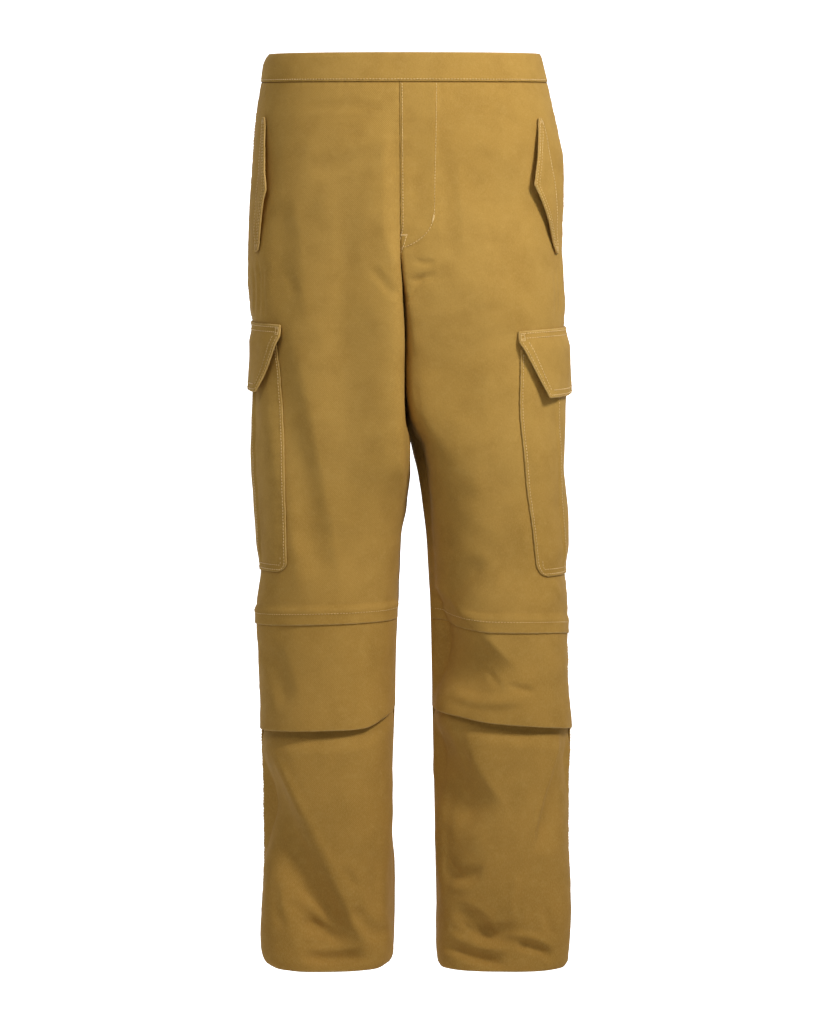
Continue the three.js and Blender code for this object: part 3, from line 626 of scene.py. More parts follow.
def build_wall(node, points, hint, thickness, uv, free, ring=False, shade=0.0):
    """A closed cloth wall from a grid of outer points. Its free borders are rounded and rubbed pale,
    and shade says where it lies in the dark line of a seam, which is painted into its colour as shade."""
    rows, columns = points.shape[:2]
    normals = grid_normals(points, hint, ring)
    thickness = np.broadcast_to(np.asarray(thickness, float), (rows, columns))
    inner = points - normals * thickness[..., None]
    vertices = [points.reshape(-1, 3), inner.reshape(-1, 3)]
    sheets = [uv.reshape(-1, 2), uv.reshape(-1, 2)]
    count = rows * columns
    cells = columns if ring else columns - 1
    r, c = np.meshgrid(np.arange(rows - 1), np.arange(cells), indexing="ij")
    a = (r * columns + c).ravel()
    b = (r * columns + (c + 1) % columns).ravel()
    d = a + columns
    e = b + columns
    faces = [np.stack([a, d, e, b], axis=1), np.stack([a, b, e, d], axis=1) + count]
    edge_wear_and_shade = np.zeros((rows, columns))
    seam_edges = []
    made = 2 * count
    for loop in perimeters(rows, columns, ring):
        place = np.array(loop)
        lr, lc = place[:, 0], place[:, 1]
        open_edge = (
            ((lr == 0) & ("top" in free))
            | ((lr == rows - 1) & ("foot" in free))
            | ((lc == 0) & ("start" in free) & (not ring))
            | ((lc == columns - 1) & ("end" in free) & (not ring))
        )
        ir = np.clip(lr, 1, rows - 2)
        ic = lc if ring else np.clip(lc, 1, columns - 2)
        beyond = points[lr, lc] - points[ir, ic]
        across = normals[lr, lc]
        beyond = unit(beyond - across * (beyond * across).sum(axis=1, keepdims=True))
        bulge = np.where(open_edge, FREE_BULGE, SEWN_BULGE) * thickness[lr, lc]
        rim = (points[lr, lc] + inner[lr, lc]) / 2 + beyond * bulge[:, None]
        vertices.append(rim)
        sheets.append(uv[lr, lc])
        edge_wear_and_shade[lr, lc] = np.where(open_edge, 1.0, SEWN_WEAR)
        outer_at = lr * columns + lc
        rim_at = made + np.arange(len(loop))
        following = np.roll(np.arange(len(loop)), -1)
        faces.append(np.stack([outer_at, outer_at[following], rim_at[following], rim_at], axis=1))
        inner_at = outer_at + count
        faces.append(np.stack([rim_at, rim_at[following], inner_at[following], inner_at], axis=1))
        sewn = ~open_edge | ~open_edge[following]
        for edge_at in (outer_at, inner_at):
            seam_edges.append(np.stack([edge_at, edge_at[following]], axis=1)[sewn])
        made += len(loop)
    vertices = np.concatenate(vertices)
    faces = np.concatenate(faces)
    rim_wear = np.ones(len(vertices) - 2 * count)
    # Painted shade: in the dark line of a seam the value turns negative, and the material darkens the
    # cloth's colour there.
    shade = np.broadcast_to(shade, edge_wear_and_shade.shape)
    edge_wear_and_shade = np.where(shade > LEAST_SHADE, -shade, edge_wear_and_shade)
    wear_and_painted_shade = np.concatenate([edge_wear_and_shade.ravel(), edge_wear_and_shade.ravel(), rim_wear])
    piece = make_mesh(f"cloth_{node}", vertices, facing_out(vertices, faces))
    add_uv(piece.data, np.concatenate(sheets), np.ptp(uv[..., 0]) if ring else None)
    attribute = piece.data.attributes.new("wear_and_painted_shade", "FLOAT", "POINT")
    attribute.data.foreach_set("value", wear_and_painted_shade.astype(np.float32))
    mark_sharp(piece.data, np.concatenate(seam_edges))
    size, area = flat_cut(uv)
    dress(piece, "cotton", COTTON, node)


def facing_out(vertices, faces):
    """The faces of a closed mesh, turned round if they look inward."""
    a, b, c, d = (vertices[faces[:, i]] for i in range(4))
    volume = (a * np.cross(b, c)).sum() + (a * np.cross(c, d)).sum()
    return faces if volume > 0 else faces[:, ::-1]


def make_mesh(name, vertices, faces):
    """A smooth mesh object in the scene, from corner points in millimetres and lists of corners."""
    mesh = bpy.data.meshes.new(name)
    mesh.from_pydata((np.asarray(vertices) / MILLIMETRES).tolist(), [], np.asarray(faces).tolist())
    mesh.polygons.foreach_set("use_smooth", np.ones(len(mesh.polygons), bool))
    mesh.update()
    made = bpy.data.objects.new(name, mesh)
    bpy.context.scene.collection.objects.link(made)
    return made


def add_uv(mesh, uv, ring_length):
    """A flat layout in metres, carried on past its end where a ring closes."""
    corners = np.zeros(len(mesh.loops), int)
    mesh.loops.foreach_get("vertex_index", corners)
    laid = uv[corners].reshape(-1, 4, 2)
    if ring_length:
        behind = laid[..., 0].max(axis=1, keepdims=True) - laid[..., 0] > ring_length / 2
        laid[..., 0] += np.where(behind, ring_length, 0)
    layer = mesh.uv_layers.new(name="cloth")
    layer.data.foreach_set("uv", (laid / MILLIMETRES).astype(np.float32).ravel())


def mark_sharp(mesh, wanted):
    """Marks the edges between the given pairs of corners as creased in the shading."""
    ends = np.zeros(2 * len(mesh.edges), int)
    mesh.edges.foreach_get("vertices", ends)
    ends = np.sort(ends.reshape(-1, 2), axis=1)
    wanted = np.sort(wanted, axis=1)
    key = len(mesh.vertices)
    marked = np.isin(ends[:, 0] * key + ends[:, 1], wanted[:, 0] * key + wanted[:, 1])
    flags = mesh.attributes.new("sharp_edge", "BOOLEAN", "EDGE")
    flags.data.foreach_set("value", marked)


def dress(piece, slot, material, *nodes):
    """Gives a piece its finish, hangs it on the root body, and hides the model's parts that it stands
    for.
    """
    piece.data.materials.append(material)
    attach(piece, "root")
    if nodes:
        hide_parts(*nodes)


# One stitch: its sides, its rings with their place along it and their swell, how far it stands off
# the cloth and how flat it lies.
STITCH_SIDES = 6
STITCH_RINGS = ((-0.5, 0.15), (-0.4, 0.8), (0.0, 1.0), (0.4, 0.8), (0.5, 0.15))
STITCH_LIFT = 0.1
STITCH_FLATNESS = 0.75

# Kinds of sewing: how far apart the stitches start, their length and the thread's radius.
STITCHES = {
    "row": (3.5, 2.6, 0.5),
    "fly row": (3.5, 2.6, 0.4),
    "fine row": (3.5, 2.6, 0.38),
    "knee row": (3.5, 2.6, 0.36),
    "fly tack": (0.9, 1.2, 0.45),
    "hip tack": (1.0, 1.4, 0.5),
    "flap tack": (1.0, 1.3, 0.42),
}


def stitch_shape():
    """One stitch as rows of (share along, across, up) and its faces."""
    turn = 2 * math.pi * np.arange(STITCH_SIDES) / STITCH_SIDES
    rows = [
        np.stack([np.full(STITCH_SIDES, share), swell * np.cos(turn), swell * np.sin(turn)], axis=1)
        for share, swell in STITCH_RINGS
    ]
    s = np.arange(STITCH_SIDES)
    n = (s + 1) % STITCH_SIDES
    faces = []
    for ring in range(len(rows) - 1):
        low = ring * STITCH_SIDES
        high = low + STITCH_SIDES
        faces.append(np.stack([low + s, low + n, high + n, high + s], axis=1))
    return np.concatenate(rows), np.concatenate(faces)


def sew(name, lines, kind="row"):
    """Rows of short stitches along lines of points on the cloth, with the directions out of it."""
    pitch, length, radius = STITCHES[kind]
    shape, shape_faces = stitch_shape()
    vertices = []
    faces = []
    made = 0
    for points, normals in lines:
        lengths = lengths_of(points)
        count = max(1, int(lengths[-1] / pitch))
        centres = (np.arange(count) + 0.5) / count * lengths[-1]
        ends = [along3(points, lengths, centres + side * length / 2) for side in (-1, 1)]
        up = unit(along3(normals, lengths, centres))
        run = ends[1] - ends[0]
        wide = unit(np.cross(run, up))
        middle = (ends[0] + ends[1]) / 2 + up * STITCH_LIFT
        placed = (
            middle[:, None]
            + shape[None, :, :1] * run[:, None]
            + shape[None, :, 1:2] * wide[:, None] * radius
            + shape[None, :, 2:] * up[:, None] * radius * STITCH_FLATNESS
        )
        vertices.append(placed.reshape(-1, 3))
        starts = made + len(shape) * np.arange(count)
        faces.append((shape_faces[None] + starts[:, None, None]).reshape(-1, 4))
        made += len(shape) * count
    vertices = np.concatenate(vertices)
    piece = make_mesh(name, vertices, facing_out(vertices, np.concatenate(faces)))
    dress(piece, "cotton", THREAD)


def along3(values, lengths, at):
    """Rows of three values at lengths along a line."""
    return np.stack([np.interp(at, lengths, values[:, i]) for i in range(3)], axis=-1)


# How far to each side of a place the cloth's directions are felt for.
PROBE = 0.004


def on_cloth(point_at, a, b):
    """A line on a piece, from its places (a, b), with the directions square to the cloth."""
    a, b = np.broadcast_arrays(np.asarray(a, float), np.asarray(b, float))
    points, hint = point_at(a, b)
    over = point_at(a + PROBE, b)[0] - point_at(a - PROBE, b)[0]
    down = point_at(a, b + PROBE)[0] - point_at(a, b - PROBE)[0]
    normals = unit(np.cross(over, down))
    flip = np.sign((normals[:, :2] * hint).sum(axis=1, keepdims=True))
    normals = normals * np.where(flip == 0, 1, flip)
    return points + normals * STITCH_LIFT, normals


def knee_edge(side, name, share):
    return column(KNEE[side], KNEE_COLUMNS, name, share)


# A seam's groove, and the gathers beside it with a second, shorter set.
GROOVE_WIDTH = 1.6
PUCKER_PITCH = 15.0
PUCKER_WIDTH = 9.0
SECOND_PUCKER = {"share": 0.6, "pitch": 0.61, "shift": 1.3}


def seam_groove(distance, depth=0.8, width=GROOVE_WIDTH):
    return -depth * np.exp(-((distance / width) ** 2))


def pucker(distance, run, height=0.35):
    """Small gathers of two lengths along a seam, that fade away from it."""
    second_pitch = PUCKER_PITCH * SECOND_PUCKER["pitch"]
    second = np.sin(2 * math.pi * run / second_pitch + SECOND_PUCKER["shift"])
    wave = np.sin(2 * math.pi * run / PUCKER_PITCH) + SECOND_PUCKER["share"] * second
    return height * wave * np.exp(-distance / PUCKER_WIDTH)


# The middle seam's groove and gathers.
MIDDLE_GROOVE = 0.7
MIDDLE_PUCKER_SHIFT = 4
MIDDLE_PUCKER_CLEAR = 3


def panel(side, face, z, share, out):
    """Points of a front or back panel, with its side seams sunk and puckered."""
    length, corner = measures(side, face, z)
    distance = spread(corner, length, np.clip(share, 0, 1))
    rest = length - distance
    facing = 1 - rise(z, FRONT_CURVE_Z if face > 0 else BACK_CURVE_Z)
    out = out + seam_groove(distance) + pucker(distance, z)
    gathers = pucker(rest, z + MIDDLE_PUCKER_SHIFT) * smooth(rest / MIDDLE_PUCKER_CLEAR)
    out = out + facing * (MIDDLE_GROOVE * seam_groove(rest) + gathers)
    inset = np.where(z > CROTCH_Z, 0.0, SEAM_GAP / 2)
    distance = np.clip(distance, SEAM_GAP / 2, length - inset)
    return surface_at(side, face, z, share_at(side, face, z, distance), out)


# The fly's slope at its curved row and its steps elsewhere, and the narrower lap below it.
FLY_SLOPE = 5
FLY_STEP = 3
LAP_WIDTH = 14
LAP_FADE = 20
LAP_SHARE = 0.5


def fly_width(z):
    """How far the fly's stitched edge lies from the centre front, down to its rounded end."""
    low = np.clip((FLY_BOTTOM + FLY_ROUND - z) / FLY_ROUND, 0, 1)
    return (FLY_WIDTH + FLY_TAPER * z) * np.sqrt(1 - low * low)


def fly_raise(side, distance_in, z):
    """The fly's extra cloth, from the centre front out to its curved row of stitches."""
    if side == "right":
        return np.zeros_like(distance_in)
    width = fly_width(z)
    inside = smooth((width - distance_in) / FLY_SLOPE + 0.5) * smooth((z - FLY_BOTTOM) / FLY_STEP + 1)
    edge = smooth((-WAISTBAND - z) / FLY_STEP)
    below = smooth((LAP_WIDTH - distance_in) / FLY_STEP) * smooth((z - CROTCH_Z) / LAP_FADE)
    return FLY_RAISE * np.maximum(inside, below * LAP_SHARE) * edge


# Close rows below the waist seam, the least step between rows, and where a curve's close rows start.
SEAM_ROW_STEP = 0.75
SEAM_ROWS = -WAISTBAND - SEAM_GAP - EDGE_CELL * np.arange(1, 4) * SEAM_ROW_STEP
LEAST_STEP = 0.6
CURVE_START = 0.3


def panel_rows(cell, lowest, curve_z, curve_rows, last_rows=()):
    """Levels of a panel's rows from the waistband down, closer where the rise curves back."""
    plain = np.arange(-WAISTBAND - SEAM_GAP, lowest, -cell)
    quarter = np.sin(np.linspace(CURVE_START, math.pi / 2, curve_rows))
    curve = curve_z + (CROTCH_Z - curve_z) * quarter
    return thinned(np.concatenate([plain, SEAM_ROWS, last_rows, curve]))


def thinned(levels):
    """Levels in order down, without any that nearly repeat the one before."""
    ordered = np.sort(levels)[::-1]
    kept = [ordered[0]]
    for level in ordered[1:]:
        if kept[-1] - level > LEAST_STEP:
            kept.append(level)
    kept[-1] = ordered[-1]
    return np.array(kept)


def off_seams(side, share, z):
    """0 at the front's side seam and inseam, and 1 a little way from both."""
    length, corner = measures(side, 1, z)
    distance = spread(corner, length, share)
    return smooth(distance / KNEE_BAND) * smooth((length - distance) / KNEE_BAND)


# The knee band's soft upper edge with its ridge of turned cloth, the cloth at the waist seam, and how
# far the painted shade under the waistband reaches.
BAND_SLOPE = 6
RIDGE_HEIGHT = 0.9
RIDGE_WIDTH = 2.6
WAIST_GROOVE = 0.6
WAIST_PUCKER = 0.25
WAIST_SHADE_REACH = 1.6


def upper_front_at(side):
    """Places on the front down to its knee band: share across, and level or height above the edge."""
    def place(share, z):
        share = np.clip(share, 0, 1)
        above = z - knee_edge(side, "top", share)
        stands = off_seams(side, share, z)
        band = KNEE_LIFT * smooth((KNEE_BAND + BAND_SLOPE - above) / BAND_SLOPE) * stands
        ridge = RIDGE_HEIGHT * np.exp(-(((above - KNEE_BAND) / RIDGE_WIDTH) ** 2)) * stands
        length, corner = measures(side, 1, z)
        inward = length - spread(corner, length, share)
        waist = seam_groove(-WAISTBAND - z, WAIST_GROOVE)
        waist = waist + pucker(-WAISTBAND - z, spread(corner, length, share), WAIST_PUCKER)
        out = band + ridge + fly_raise(side, inward, z) + waist
        return panel(side, 1, z, share, out)
    return place


def waist_shade(z):
    """How deep a place lies in the dark line under the waistband, painted into the cloth's colour as
    shade.
    """
    return smooth((z + WAISTBAND) / SEAM_LINE + WAIST_SHADE_REACH)


def panel_uv(side, face, z, share):
    length, corner = measures(side, face, z)
    return np.stack([face * spread(corner, length, share), z], axis=-1)


# About how far each panel's grid of points runs across and down, and where the front's level rows
# give way to rows that follow its lower edge.
FRONT_ACROSS = 330
FRONT_LEVEL_END = -598
FRONT_BELOW = 60
BACK_ACROSS = 350
LEG_ACROSS = 225
KNEE_DOWN = 138
SHIN_DOWN = 290
LEG_CELL = 3.0
FRONT_CURVE_ROWS = 16
BACK_CURVE_ROWS = 18
FOLDED_BAND = 0.5
FOLD_SLOPE = 4
HEM_SLOPE = 2


def make_upper_front(side):
    shares = paces(FRONT_ACROSS, FRONT_CELL)
    z = panel_rows(FRONT_CELL, FRONT_LEVEL_END, FRONT_CURVE_Z, FRONT_CURVE_ROWS)
    edge = knee_edge(side, "top", shares)
    steps = paces(FRONT_BELOW, FRONT_CELL)[1:]
    lower = mix(z[-1], edge[None, :], steps[:, None])
    grid_z = np.concatenate([np.repeat(z[:, None], len(shares), axis=1), lower])
    grid_share = np.broadcast_to(shares, grid_z.shape)
    points, hint = upper_front_at(side)(grid_share, grid_z)
    uv = panel_uv(side, 1, grid_z, grid_share)
    in_band = smooth((KNEE_BAND + FOLD_SLOPE - (grid_z - edge[None, :])) / FOLD_SLOPE)
    thickness = CLOTH + FOLDED_BAND * in_band
    # Painted shade along the dark line under the waistband.
    shade = waist_shade(grid_z)
    build_wall(f"front_{side}", points, hint, thickness, uv, {"foot"}, shade=shade)


# The knee panel starts so far under the band, flares over its lower share, and sinks under the band
# and a little at its seams.
KNEE_UNDER = 2
KNEE_FLARE_START = 0.6
KNEE_SINK_SLOPE = 3
KNEE_CLEAR = 0.3
KNEE_SEAM_SINK = 0.2


def knee_at(side):
    """Places on the knee panel: share across, and share down."""
    def place(share, down):
        band_edge = knee_edge(side, "top", share)
        top = band_edge + KNEE_BAND - SEAM_GAP - KNEE_UNDER
        z = mix(top, knee_edge(side, "bottom", share), down)
        bow = np.sqrt(np.maximum(np.sin(math.pi * np.clip(share, 0, 1)), 0))
        flare = KNEE_FLARE * smooth((down - KNEE_FLARE_START) / (1 - KNEE_FLARE_START)) * bow
        under = smooth((z - band_edge + KNEE_UNDER) / KNEE_SINK_SLOPE)
        sunk = under * mix(KNEE_LIFT + KNEE_CLEAR, KNEE_SEAM_SINK, off_seams(side, share, z))
        return panel(side, 1, z, share, flare - sunk)
    return place


def make_knee(side):
    grid_share, grid_down = np.meshgrid(paces(LEG_ACROSS, LEG_CELL), paces(KNEE_DOWN, LEG_CELL))
    points, hint = knee_at(side)(grid_share, grid_down)
    uv = panel_uv(side, 1, points[..., 2], grid_share)
    build_wall(f"knee_{side}", points, hint, KNEE_CLOTH, uv, {"foot"})


# Where the shin's sunk upper part ends, and over what length it rises.
SHIN_SINK_END = 26
SHIN_SINK_RUN = 24


def shin_at(side):
    """Places on the shin panel: share across, and distance below the knee panel's edge."""
    def place(share, below):
        z = knee_edge(side, "bottom", share) - below
        bow = np.sin(math.pi * np.clip(share, 0, 1))
        sink = smooth((SHIN_SINK_END - below) / SHIN_SINK_RUN) * (SHIN_DEEP + SHIN_HOLLOW * bow)
        return panel(side, 1, np.maximum(z, -OUTSEAM), share, -sink)
    return place


def hem_thickness(z):
    return mix(CLOTH, HEM_CLOTH, smooth((HEM_DEPTH - (z + OUTSEAM)) / HEM_SLOPE))


def make_shin(side):
    shares = paces(LEG_ACROSS, LEG_CELL)
    edge = knee_edge(side, "bottom", shares)
    downs = paces(SHIN_DOWN, LEG_CELL)
    below = mix(-SHIN_TUCK, (edge + OUTSEAM)[None, :], downs[:, None])
    grid_share = np.broadcast_to(shares, below.shape)
    points, hint = shin_at(side)(grid_share, below)
    z = edge[None, :] - below
    uv = panel_uv(side, 1, z, grid_share)
    build_wall(f"shin_{side}", points, hint, hem_thickness(z), uv, {"foot"})


def make_back(side):
    last_rows = [EDGE_CELL - OUTSEAM, -OUTSEAM]
    z = panel_rows(BACK_CELL, -OUTSEAM, BACK_CURVE_Z, BACK_CURVE_ROWS, last_rows)
    grid_share, grid_z = np.meshgrid(paces(BACK_ACROSS, BACK_CELL), z)
    waist = seam_groove(-WAISTBAND - grid_z, WAIST_GROOVE)
    points, hint = panel(side, -1, grid_z, grid_share, waist)
    uv = panel_uv(side, -1, grid_z, grid_share)
    thickness = hem_thickness(grid_z)
    # Painted shade along the dark line under the waistband.
    shade = waist_shade(grid_z)
    build_wall(f"back_{side}", points, hint, thickness, uv, {"foot"}, shade=shade)


# The waistband's rolled upper edge, the groove at its foot, and its grid.
ROLL_DEPTH = 0.9
ROLL_RUN = 3.5
BAND_GROOVE = 0.5
BAND_GROOVE_WIDTH = 1.2
BAND_STEPS = 64
BAND_CELL = 2.5


def band_at(side, face):
    """Places on the waistband: share across a quarter of it, and level."""
    def place(share, z):
        rolled = ROLL_DEPTH * smooth((z + ROLL_RUN) / ROLL_RUN)
        foot = seam_groove(z + WAISTBAND, BAND_GROOVE, BAND_GROOVE_WIDTH)
        return surface_at(side, face, z, share, BAND_STAND - rolled + foot)
    return place


def make_waistband():
    """One strip, from the centre front round the wearer's right, the back and the left."""
    quarter = np.linspace(0, 1, BAND_STEPS)
    rows = -WAISTBAND * paces(WAISTBAND, BAND_CELL)
    points = []
    hints = []
    uvs = []
    start = 0.0
    for side, face, inward in (
        ("right", 1, True),
        ("right", -1, False),
        ("left", -1, True),
        ("left", 1, False),
    ):
        shares = (quarter[::-1] if inward else quarter)[1:]
        grid_share, grid_z = np.meshgrid(shares, rows)
        part, hint = band_at(side, face)(grid_share, grid_z)
        length, corner = measures(side, face, grid_z)
        distance = spread(corner, length, grid_share)
        travelled = start + (length - distance if inward else distance)
        start += float(length[0, 0])
        points.append(part)
        hints.append(hint)
        uvs.append(np.stack([travelled, grid_z], axis=-1))
    build_wall(
        "waistband", np.concatenate(points, axis=1), np.concatenate(hints, axis=1),
        DOUBLED_CLOTH, np.concatenate(uvs, axis=1), {"top"}, ring=True,
    )


def make_patch(name, place, wide, high, thickness, flat, row_cell=SMALL_CELL):
    """A patch with four free edges, from its places, its size and its layout across."""
    across, down = np.meshgrid(paces(wide, SMALL_CELL), paces(high, row_cell))
    points, hint = place(across, down)
    uv = np.stack([flat(across, down), -down * high], axis=-1)
    free = {"top", "foot", "start", "end"}
    build_wall(name, points, hint, thickness, uv, free)


# The cargo pocket's sag, and how steeply its puff and pleat rise from its edges and its foot.
POCKET_SAG = 1.2
POCKET_PUCKER = 0.3
PUFF_STEEP = 9
PUFF_FOOT_STEEP = 8
PLEAT_FOOT_STEEP = 10
PLEAT_FOLD = 0.02
POCKET_CORNER_IN = 0.9
POCKET_CELL = 2.8


def pocket_out(across, down):
    """How far out the cargo pocket's outer face lies."""
    edge = np.minimum(across, 1 - across) * PUFF_STEEP
    puff = POCKET_PUFF * smooth(edge) * smooth((1 - down) * PUFF_FOOT_STEEP)
    front_fold = smooth((across - PLEAT_FRONT) / PLEAT_FOLD + 0.5)
    back_fold = smooth((PLEAT_BACK - across) / PLEAT_FOLD + 0.5)
    pleat = PLEAT_HEIGHT * front_fold * back_fold * smooth((1 - down) * PLEAT_FOOT_STEEP)
    sag = POCKET_SAG * np.sin(math.pi * across) * np.sin(math.pi * np.clip(down, 0, 1)) ** 2
    return LAY_GAP + POCKET_CLOTH + puff + sag + pleat


def pocket_edges(side, down):
    """How far round from the side seam the cargo pocket's front and back edges lie."""
    height = CARGO[side]["top"] - CARGO[side]["bottom"]
    low = np.clip((down * height - height + POCKET_ROUND) / POCKET_ROUND, 0, 1)
    drawn_in = POCKET_ROUND * (1 - np.sqrt(1 - low * low)) * POCKET_CORNER_IN
    front = column(POCKET_FRONT[side], POCKET_FRONT_COLUMNS, "distance", down)
    back = mix(CARGO[side]["back_top"], CARGO[side]["back_bottom"], down)
    return front - drawn_in, back + drawn_in


def pocket_at(side):
    """Places on the cargo pocket: share from its front edge to its back edge, and share down."""
    def place(across, down):
        front, back = pocket_edges(side, down)
        distance = mix(front, back, across)
        slope = mix(POCKET_TOP_SLOPE, POCKET_BOTTOM_SLOPE, down)
        z = mix(CARGO[side]["top"], CARGO[side]["bottom"], down) + slope * distance
        run = np.minimum(across, 1 - across) * POCKET_WIDTH
        out = pocket_out(across, down) + pucker(run, z, POCKET_PUCKER) * smooth(run / EDGE_ROW)
        return around(side, z, distance, out)
    return place


def make_pocket(side):
    def flat(across, down):
        return mix(*pocket_edges(side, down), across)

    size = (POCKET_WIDTH, POCKET_HEIGHT)
    name = f"cargo_pocket_{side}"
    make_patch(name, pocket_at(side), *size, POCKET_CLOTH, flat, POCKET_CELL)


# The cargo flap's clearance over the pocket and how soon it is reached, the middle's share of its
# lift, how far it reaches past the pocket behind, and its waves across.
FLAP_CLEAR = 0.4
FLAP_STEEP = 3.2
FLAP_MIDDLE = 0.35
FLAP_OVERLAP = 1.5
FLAP_WIDTH = 190
FLAP_WAVE = {"height": 0.5, "turns": 17, "shift": 1, "steep": 2}


def flap_in(across, down):
    """How far out the cargo flap's inner face lies."""
    corner = np.abs(2 * across - 1) ** 2
    clear = POCKET_PUFF + PLEAT_HEIGHT + LAY_GAP + CLOTH + LAY_GAP + FLAP_CLEAR
    lift = FLAP_LIFT * down**2 * mix(FLAP_MIDDLE, 1, corner)
    return mix(LAY_GAP, clear, smooth(down * FLAP_STEEP)) + lift


def flap_distance(side, across, down):
    """How far round from the side seam a place on the cargo flap lies."""
    drop = down * FLAP_DEPTH
    clipped = FLAP_CLIP * np.maximum(0, drop - FLAP_STAND) / (FLAP_DEPTH - FLAP_STAND)
    front = CARGO[side]["flap_front"] - clipped
    rear = CARGO[side]["back_top"] - FLAP_OVERLAP + clipped
    return mix(front, rear, across)


def flap_at(side):
    """Places on the cargo flap: share from its front edge to its back edge, and share down."""
    def place(across, down, out=None):
        distance = flap_distance(side, across, down)
        z = CARGO[side]["flap_top"] - down * FLAP_DEPTH + POCKET_TOP_SLOPE * distance
        if out is None:
            wave = FLAP_WAVE["height"] * np.sin(across * FLAP_WAVE["turns"] + FLAP_WAVE["shift"])
            out = flap_in(across, down) + DOUBLED_CLOTH + wave * smooth(down * FLAP_WAVE["steep"])
        return around(side, z, distance, out)
    return place


def make_flap(side):
    def flat(across, down):
        return flap_distance(side, across, down)

    name = f"cargo_flap_{side}"
    make_patch(name, flap_at(side), FLAP_WIDTH, FLAP_DEPTH, DOUBLED_CLOTH, flat)


# The hip flap's widest width, how straight its edges are, and its lift's least share at its ends.
HIP_WIDTH = 44
HIP_EDGE_POWER = 0.9
HIP_END_LIFT = 0.05


def hip_forward(side, down):
    """How far the hip flap reaches forward of its sewn edge, widest at its tip."""
    edges = HIP_EDGES[side]
    tip = (edges["top"] - edges["tip"]) / (edges["top"] - edges["bottom"])
    to_tip = np.clip(np.where(down < tip, down / tip, (1 - down) / (1 - tip)), 0, 1)
    end = np.where(down < tip, HIP_TOP_WIDTH, edges["foot"])
    return mix(end, edges["reach"], to_tip**HIP_EDGE_POWER)


def hip_flap_at(side):
    """Places on the hip flap: share from its sewn rear edge to its free edge, and share down."""
    edges = HIP_EDGES[side]

    def place(across, down):
        z = mix(edges["top"], edges["bottom"], down)
        sewn = mix(edges["sewn_top"], edges["sewn_bottom"], down)
        distance = sewn + across * hip_forward(side, down)
        free = np.sin(math.pi * np.clip(down, HIP_END_LIFT, 1 - HIP_END_LIFT))
        stand = LAY_GAP + HIP_LIFT * across * free
        return around(side, z, distance, stand + DOUBLED_CLOTH)
    return place


def make_hip_flap(side):
    def flat(across, down):
        return across * hip_forward(side, down)

    make_patch(f"hip_flap_{side}", hip_flap_at(side), HIP_WIDTH, HIP_HEIGHT, DOUBLED_CLOTH, flat)


def make_snap(name, side, across):
    """A closed snap: a rolled socket and stud that fill the room between the pocket and its flap."""
    down = SNAP_BELOW / FLAP_DEPTH
    inner = float(flap_in(np.array(across), np.array(down))) - SNAP_CLEAR
    foot = LAY_GAP + POCKET_CLOTH + POCKET_PUFF + SNAP_CLEAR
    half = (inner - foot) / 2
    place = flap_at(side)
    spot = [np.array([across]), np.array([down])]
    centre = place(*spot, out=np.array([foot + half]))[0][0]
    toward = on_cloth(place, *spot)[1][0]
    sideways = unit(np.cross(toward, (0.0, 0.0, 1.0)))
    upright = np.cross(sideways, toward)
    turn = 2 * math.pi * np.arange(SNAP_SEGMENTS) / SNAP_SEGMENTS
    ring = np.cos(turn)[:, None] * sideways + np.sin(turn)[:, None] * upright
    vertices = [centre + ring * radius * SNAP_RADIUS + toward * level * half
                for radius, level in SNAP_PROFILE]
    faces = []
    for row in range(len(SNAP_PROFILE) - 1):
        low = row * SNAP_SEGMENTS
        for s in range(SNAP_SEGMENTS):
            n = (s + 1) % SNAP_SEGMENTS
            faces.append((low + s, low + n, low + SNAP_SEGMENTS + n, low + SNAP_SEGMENTS + s))
    vertices = np.concatenate(vertices)
    piece = make_mesh(f"metal_{name}", vertices, facing_out(vertices, np.array(faces)))
    dress(piece, "snap_metal", METAL, name)
    return piece


# How far rows of stitches lie from an edge, the outer and the inner one of a pair, and how far short
# of an edge's ends they stop.
EDGE_ROW = 2.0
FOLD_ROW = 2.4
BACK_TWIN_ROW = 8.0
TWIN_ROW = 7.6
HIP_ROW = 1.8
HIP_TWIN_ROW = 6.4
POCKET_ROW = 2.6
POCKET_TWIN_ROW = 8.0
PLEAT_ROW = 0.026
ROW_START = 0.03
POCKET_ROW_START = 0.02
POCKET_TWIN_START = 0.93
PLEAT_ROW_DOWN = (0.2, 0.985)
FLAP_ROW_START = 1.25


def sew_waistband():
    across = np.linspace(0, 1, 70)
    places = [band_at(side, face) for side in SIDES for face in (1, -1)]
    sew("thread_waistband", [on_cloth(place, across, EDGE_ROW - WAISTBAND) for place in places])


# The fly's curved row inside its edge and off the fold, its rows' ends, and its bar tacks.
FLY_ROW = 1.5
FLY_ROW_LEAST = 2.5
FLY_ROW_TOP = -WAISTBAND - 2
FLY_ROW_FOOT = FLY_BOTTOM + 0.3
FOLD_ROW_FOOT = -296
LAP_ROW_ENDS = (FLY_BOTTOM + 14, -293)
SIDE_TACK_ENDS = (-206, -198)
BAR_ENDS = (0.8, 8.6)
BAR_LEVELS = (-220.5, -221.5)
TACK_STEPS = 12


